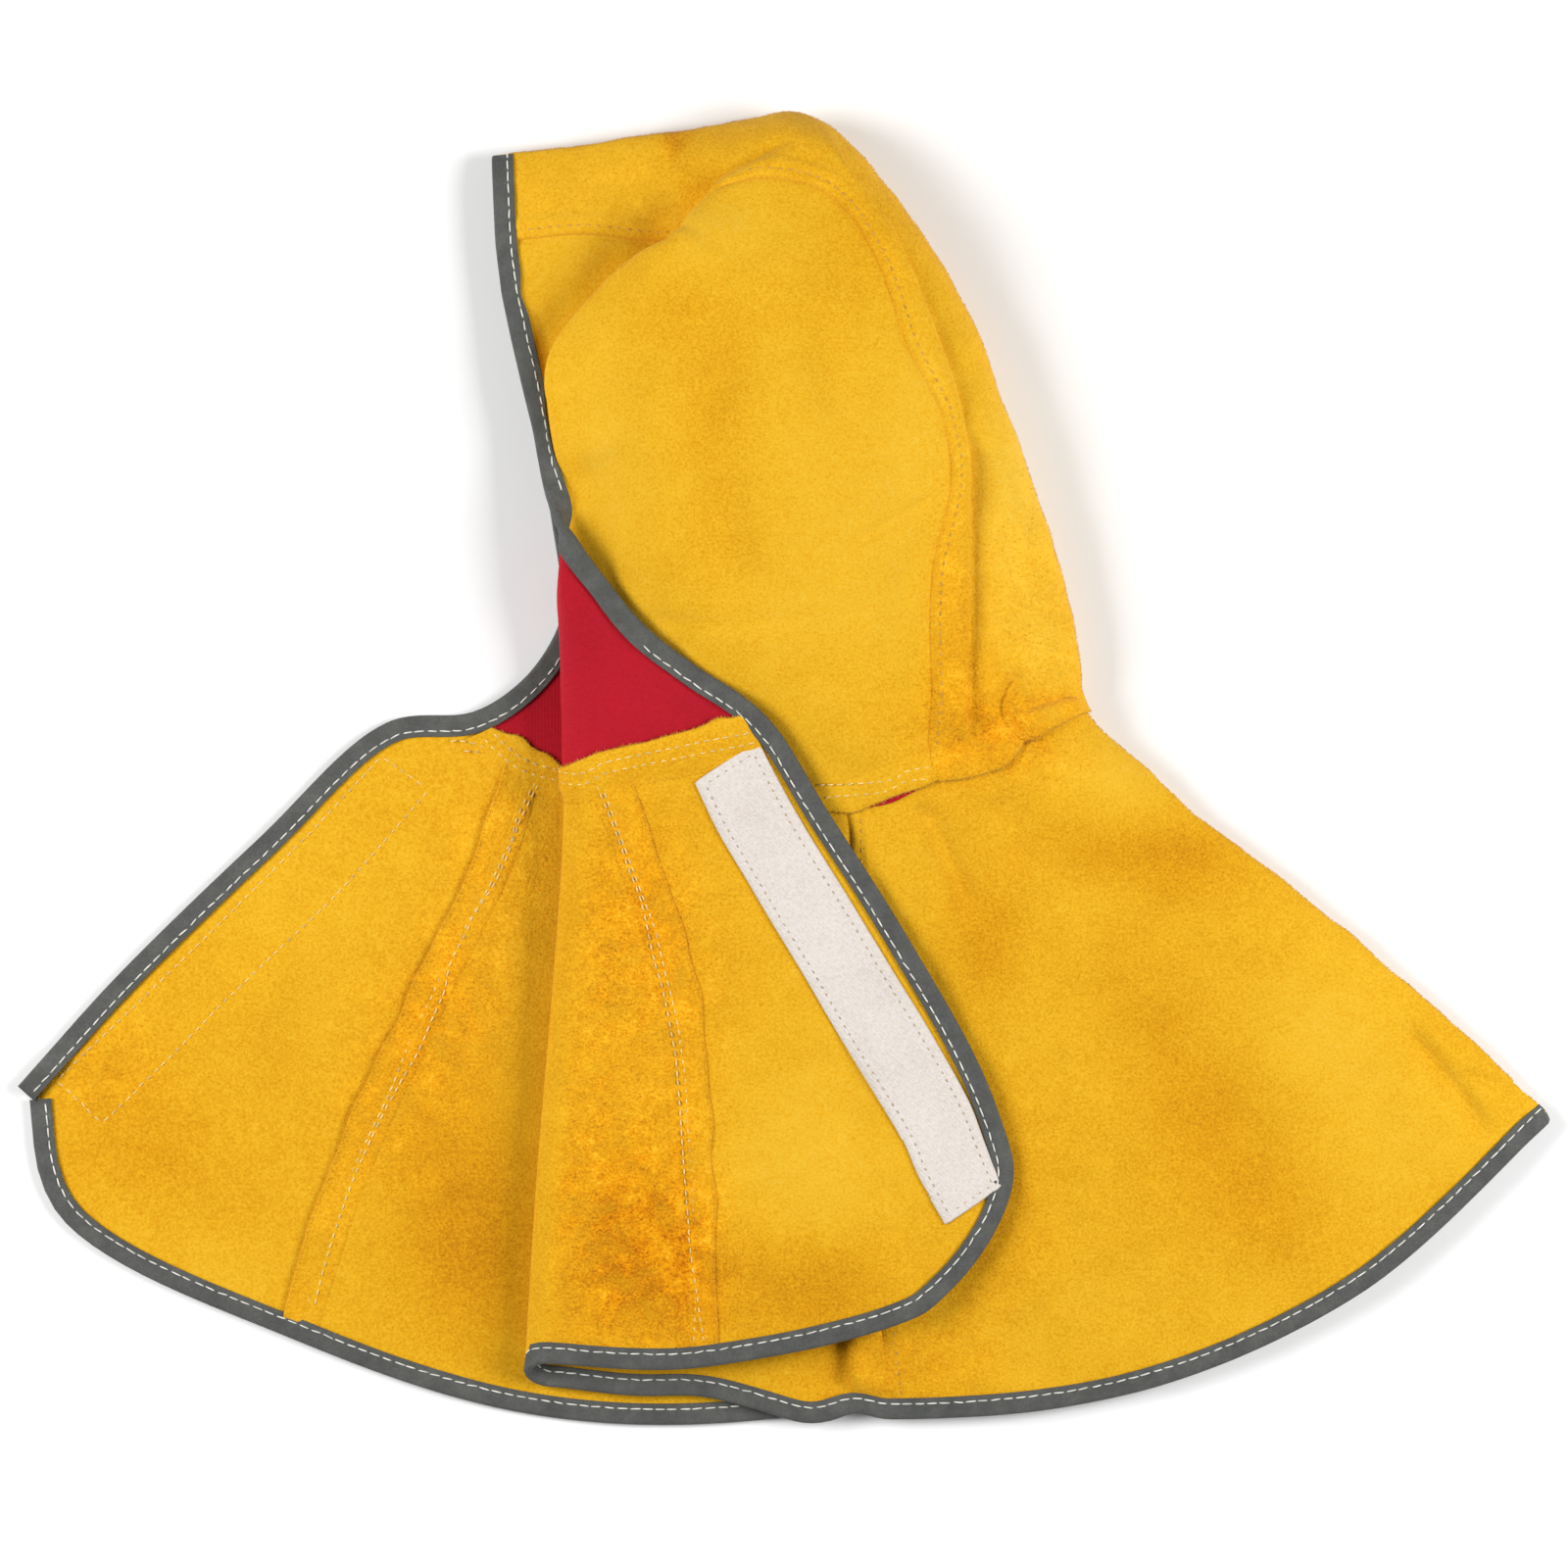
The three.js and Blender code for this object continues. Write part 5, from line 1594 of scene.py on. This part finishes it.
def tape_border(places, stitch):
    """The lines of a tape's stitches, round it at a distance in from its edges."""
    last_row, last_column = (count - 1 for count in places[0].shape)
    inset = stitch / TAPE_WIDTH * last_column
    length = lengths_along(lifted(places, 0.0)[:, 0], 0)[-1]
    end_inset = stitch / length * last_row
    rows = np.linspace(end_inset, last_row - end_inset, TAPE_BORDER_POINTS[0])
    columns = np.linspace(inset, last_column - inset, TAPE_BORDER_POINTS[1])

    def line(row, column):
        row, column = np.broadcast_arrays(row, column)
        return tuple(sampled(grid, row, column) for grid in places)

    return [line(rows, columns[0]), line(rows, columns[-1]), line(rows[0], columns), line(rows[-1], columns)]


loop_places = tape_places("lapel", *LOOP_EDGES)
hook_places = tape_places("far", *HOOK_EDGES)
tape_object("loop_tape", loop_places, -1, LOOP_STITCH, loop_pile)
tape_object("hook_tape", hook_places, 1, HOOK_STITCH, hook_field)

# Stitching
ON_INSIDE = -LEATHER / 2
BAND_SINKS = 1.4
ON_BAND = LEATHER / 2 + BAND_RISE - BAND_SINKS * STITCH_SINK
LOOP_STITCH_SINK = 0.0004
ON_LOOP_TAPE = ON_INSIDE - LAYER_GAP - TAPE + LOOP_STITCH_SINK
# Rows along the neck, as their distance below the seam and their height on the cape's raw top
NECK_ROWS = [(0.0008, -INSIDE_LAP), (0.0062, -(INSIDE_LAP - 0.0004))]
# Grid lines without stitches or fuzz at the forehead, and without stitches above and below the neck
FOREHEAD_LINES = 4
ABOVE_NECK = 3
BELOW_NECK = 2
cape_rows = np.arange(neck + BELOW_NECK, row_count - HEM_LINES)
hood_rows = np.arange(FOREHEAD_LINES, neck - ABOVE_NECK)

top_lines = [line_across(COLUMN["seam"], TOPSTITCH, hood_rows),
             line_across(COLUMN["far_seam"], -TOPSTITCH, hood_rows),
             line_across(COLUMN["flank"], FLANK_STITCH, cape_rows)]
top_stitches = [stitches_on(line, ON_BAND, SEED["top"] + k, SEAM_THREAD) for k, line in enumerate(top_lines)]
new_object("top_stitching", joined(top_stitches), golden_thread)

seam_stitches = []
for k, (layer, height, path) in enumerate(STITCH_ROWS):
    from_middle = SIDE_UP[layer] * (LEATHER / 2 + height)
    seam_stitches.append(stitches_on(traced(layer, path), from_middle, SEED["seam"] + k, SEAM_THREAD))
for seed, columns in ((SEED["lapel_neck"], lapel_columns), (SEED["right_neck"], right_columns)):
    for k, (distance, height) in enumerate(NECK_ROWS):
        seam_stitches.append(stitches_on(line_below(neck, distance, columns), height, seed + k, SEAM_THREAD))
for k, line in enumerate(tape_border(hook_places, HOOK_STITCH)):
    seam_stitches.append(stitches_on(line, ON_INSIDE, SEED["hook"] + k, HOOK_THREAD))
new_object("seam_stitching", joined(seam_stitches), cream_thread)

tape_stitches = [stitches_on(line, ON_LOOP_TAPE, SEED["loop"] + k, LOOP_THREAD)
                 for k, line in enumerate(tape_border(loop_places, LOOP_STITCH))]
new_object("tape_stitching", joined(tape_stitches), tan_thread)

edge_stitches = []
for k, run in enumerate(run for side in (1, -1) for run in binding_stitches[side] if run):
    places, normals = (np.array(values) for values in zip(*run))
    edge_stitches.append(stitch_line(places, normals, SEED["binding"] + k, **BINDING_THREAD))
new_object("edge_stitching", joined(edge_stitches), white_thread)

# Frayed edges: fibres to a metre, and their shortest and longest length, at the neck and on the laps
NECK_FRAY = (4200, 0.0008, 0.0030)
LAP_FRAY = (3500, 0.0006, 0.0020)
FRAY_TONE = 0.25

fringe = []
for k, (places, heights) in enumerate((side_lip_edge, strip_lip_edge, lapel_top_edge, right_top_edge)):
    grid = lifted(places, heights)
    line = tuple(p[-1] for p in places)
    fringe.append(frayed(line, heights[-1], unit(grid[-1] - grid[-2]), *NECK_FRAY, SEED["neck_fray"] + k))
for k, (sign, (line, heights)) in enumerate(((-1, left_raw), (1, right_raw))):
    ahead = unit(np.gradient(lifted(line, heights), axis=0))
    outward = unit(np.cross(ahead, unit(sampled(facing, *line)))) * sign
    fringe.append(frayed(line, heights, outward, *LAP_FRAY, SEED["lap_fray"] + k))
points, faces, _ = joined(fringe)
paint = dict(nap=np.zeros(len(points)), tone_and_shading=np.full(len(points), FRAY_TONE))
new_object("frayed_edges", (points, faces, paint), suede)

# Nap: loose fibres on the rough patches of the sides that show, along the outline and along the left fold
NAP_FIBRES = 16000
NAP_LENGTHS = (0.0010, 0.0022)
NAP_THICKNESS = 0.00020
NAP_LEAST = 0.12
NAP_UPRIGHT = 0.45
NAP_STRAY = 0.6
FIBRE_NAP = 0.7
FIBRE_TONES = (-0.20, 0.18)
# Fibres to a metre along the outline, and their shortest and longest length
FUZZ = (5200, 0.0005, 0.0014)
# Grid lines without fuzz below the neck and above the hem
FUZZ_FROM_NECK = 3
FUZZ_FROM_HEM = 5

random = np.random.default_rng(SEED["cells"])
outside_up = LAYERS["near"] > 0.5
cell_areas = np.linalg.norm(np.cross(np.gradient(skin, axis=0), np.gradient(skin, axis=1)), axis=-1)
shows = outside_up | ~is_hood
chance = (np.clip(nap - NAP_LEAST, 0, 1) * cell_areas * shows).ravel()
cells = random.choice(chance.size, NAP_FIBRES, p=chance / chance.sum())
nap_places = (cells // column_count + random.uniform(-0.5, 0.5, NAP_FIBRES),
              cells % column_count + random.uniform(-0.5, 0.5, NAP_FIBRES))
nap_sides = np.where(outside_up, 1.0, -1.0).ravel()[cells]
nap_normals = unit(sampled(facing, *nap_places)) * nap_sides[:, None]
nap_roots = lifted(nap_places, nap_sides * (LEATHER / 2))
nap_headings = nap_normals * NAP_UPRIGHT + random.normal(0, NAP_STRAY, nap_normals.shape)
fuzz = [fibres(nap_roots, nap_headings, *NAP_LENGTHS, NAP_THICKNESS, SEED["nap"])]
outline_rows = np.arange(FOREHEAD_LINES, row_count - FUZZ_FROM_HEM)
fold_rows = np.arange(neck + FUZZ_FROM_NECK, row_count - FUZZ_FROM_HEM)
for k, (column, rows) in enumerate((("rim", outline_rows), ("fold_side", fold_rows))):
    line = line_across(COLUMN[column], 0.0, rows)
    fuzz.append(frayed(line, LEATHER / 2, unit(sampled(facing, *line)), *FUZZ, SEED["fuzz"] + k))
points, faces, _ = joined(fuzz)
shade = np.repeat(random.uniform(*FIBRE_TONES, len(points) // FIBRE_POINTS), FIBRE_POINTS)
paint = dict(nap=np.full(len(points), FIBRE_NAP), tone_and_shading=shade)
new_object("nap_fibres", (points, faces, paint), suede)

# Floor, light and camera
FLOOR_HALF = 4.0
# The floor lies just below the lowest stitches
FLOOR_TOP = -0.0002
# Two soft lights, each with its place and its power, aimed at the origin
LIGHTS = dict(left=((-1.7, 0.2, 1.35), 45), right=((1.7, 0.0, 1.35), 44))
LIGHT_SIZE = 1.1
WORLD_STRENGTH = 0.19
# The photograph's scale holds for this height above the floor
SHARP_HEIGHT = 0.012
CAMERA_HEIGHT = 4.0
CAMERA_REACH = 50
SENSOR = 36

floor_corners = [(x * FLOOR_HALF, y * FLOOR_HALF, FLOOR_TOP) for x, y in ((-1, -1), (1, -1), (1, 1), (-1, 1))]
floor_mesh = bpy.data.meshes.new("floor")
floor_mesh.from_pydata(floor_corners, [], [(0, 1, 2, 3)])
floor_mesh.materials.append(floor_material())
floor = bpy.data.objects.new("floor", floor_mesh)
bpy.context.collection.objects.link(floor)

for name, (place, power) in LIGHTS.items():
    light_data = bpy.data.lights.new(name, "AREA")
    light_data.size = LIGHT_SIZE
    light_data.energy = power
    light = bpy.data.objects.new(name, light_data)
    light.location = place
    light.rotation_euler = Vector(np.zeros(3) - np.array(place)).to_track_quat("-Z", "Y").to_euler()
    bpy.context.collection.objects.link(light)

world = bpy.data.worlds.new("studio")
world.use_nodes = True
background = world.node_tree.nodes["Background"]
background.inputs["Color"].default_value = (1, 1, 1, 1)
background.inputs["Strength"].default_value = WORLD_STRENGTH
bpy.context.scene.world = world
bpy.context.scene.view_settings.view_transform = "Standard"

camera_data = bpy.data.cameras.new("camera")
camera_data.sensor_width = SENSOR
camera_data.lens = SENSOR * (CAMERA_HEIGHT - SHARP_HEIGHT) / (PHOTO_SIDE * PIXEL)
camera_data.clip_end = CAMERA_REACH
camera = bpy.data.objects.new("camera", camera_data)
camera.location = (-TABLE_MIDDLE[0], -TABLE_MIDDLE[1], CAMERA_HEIGHT)
bpy.context.collection.objects.link(camera)
bpy.context.scene.camera = camera
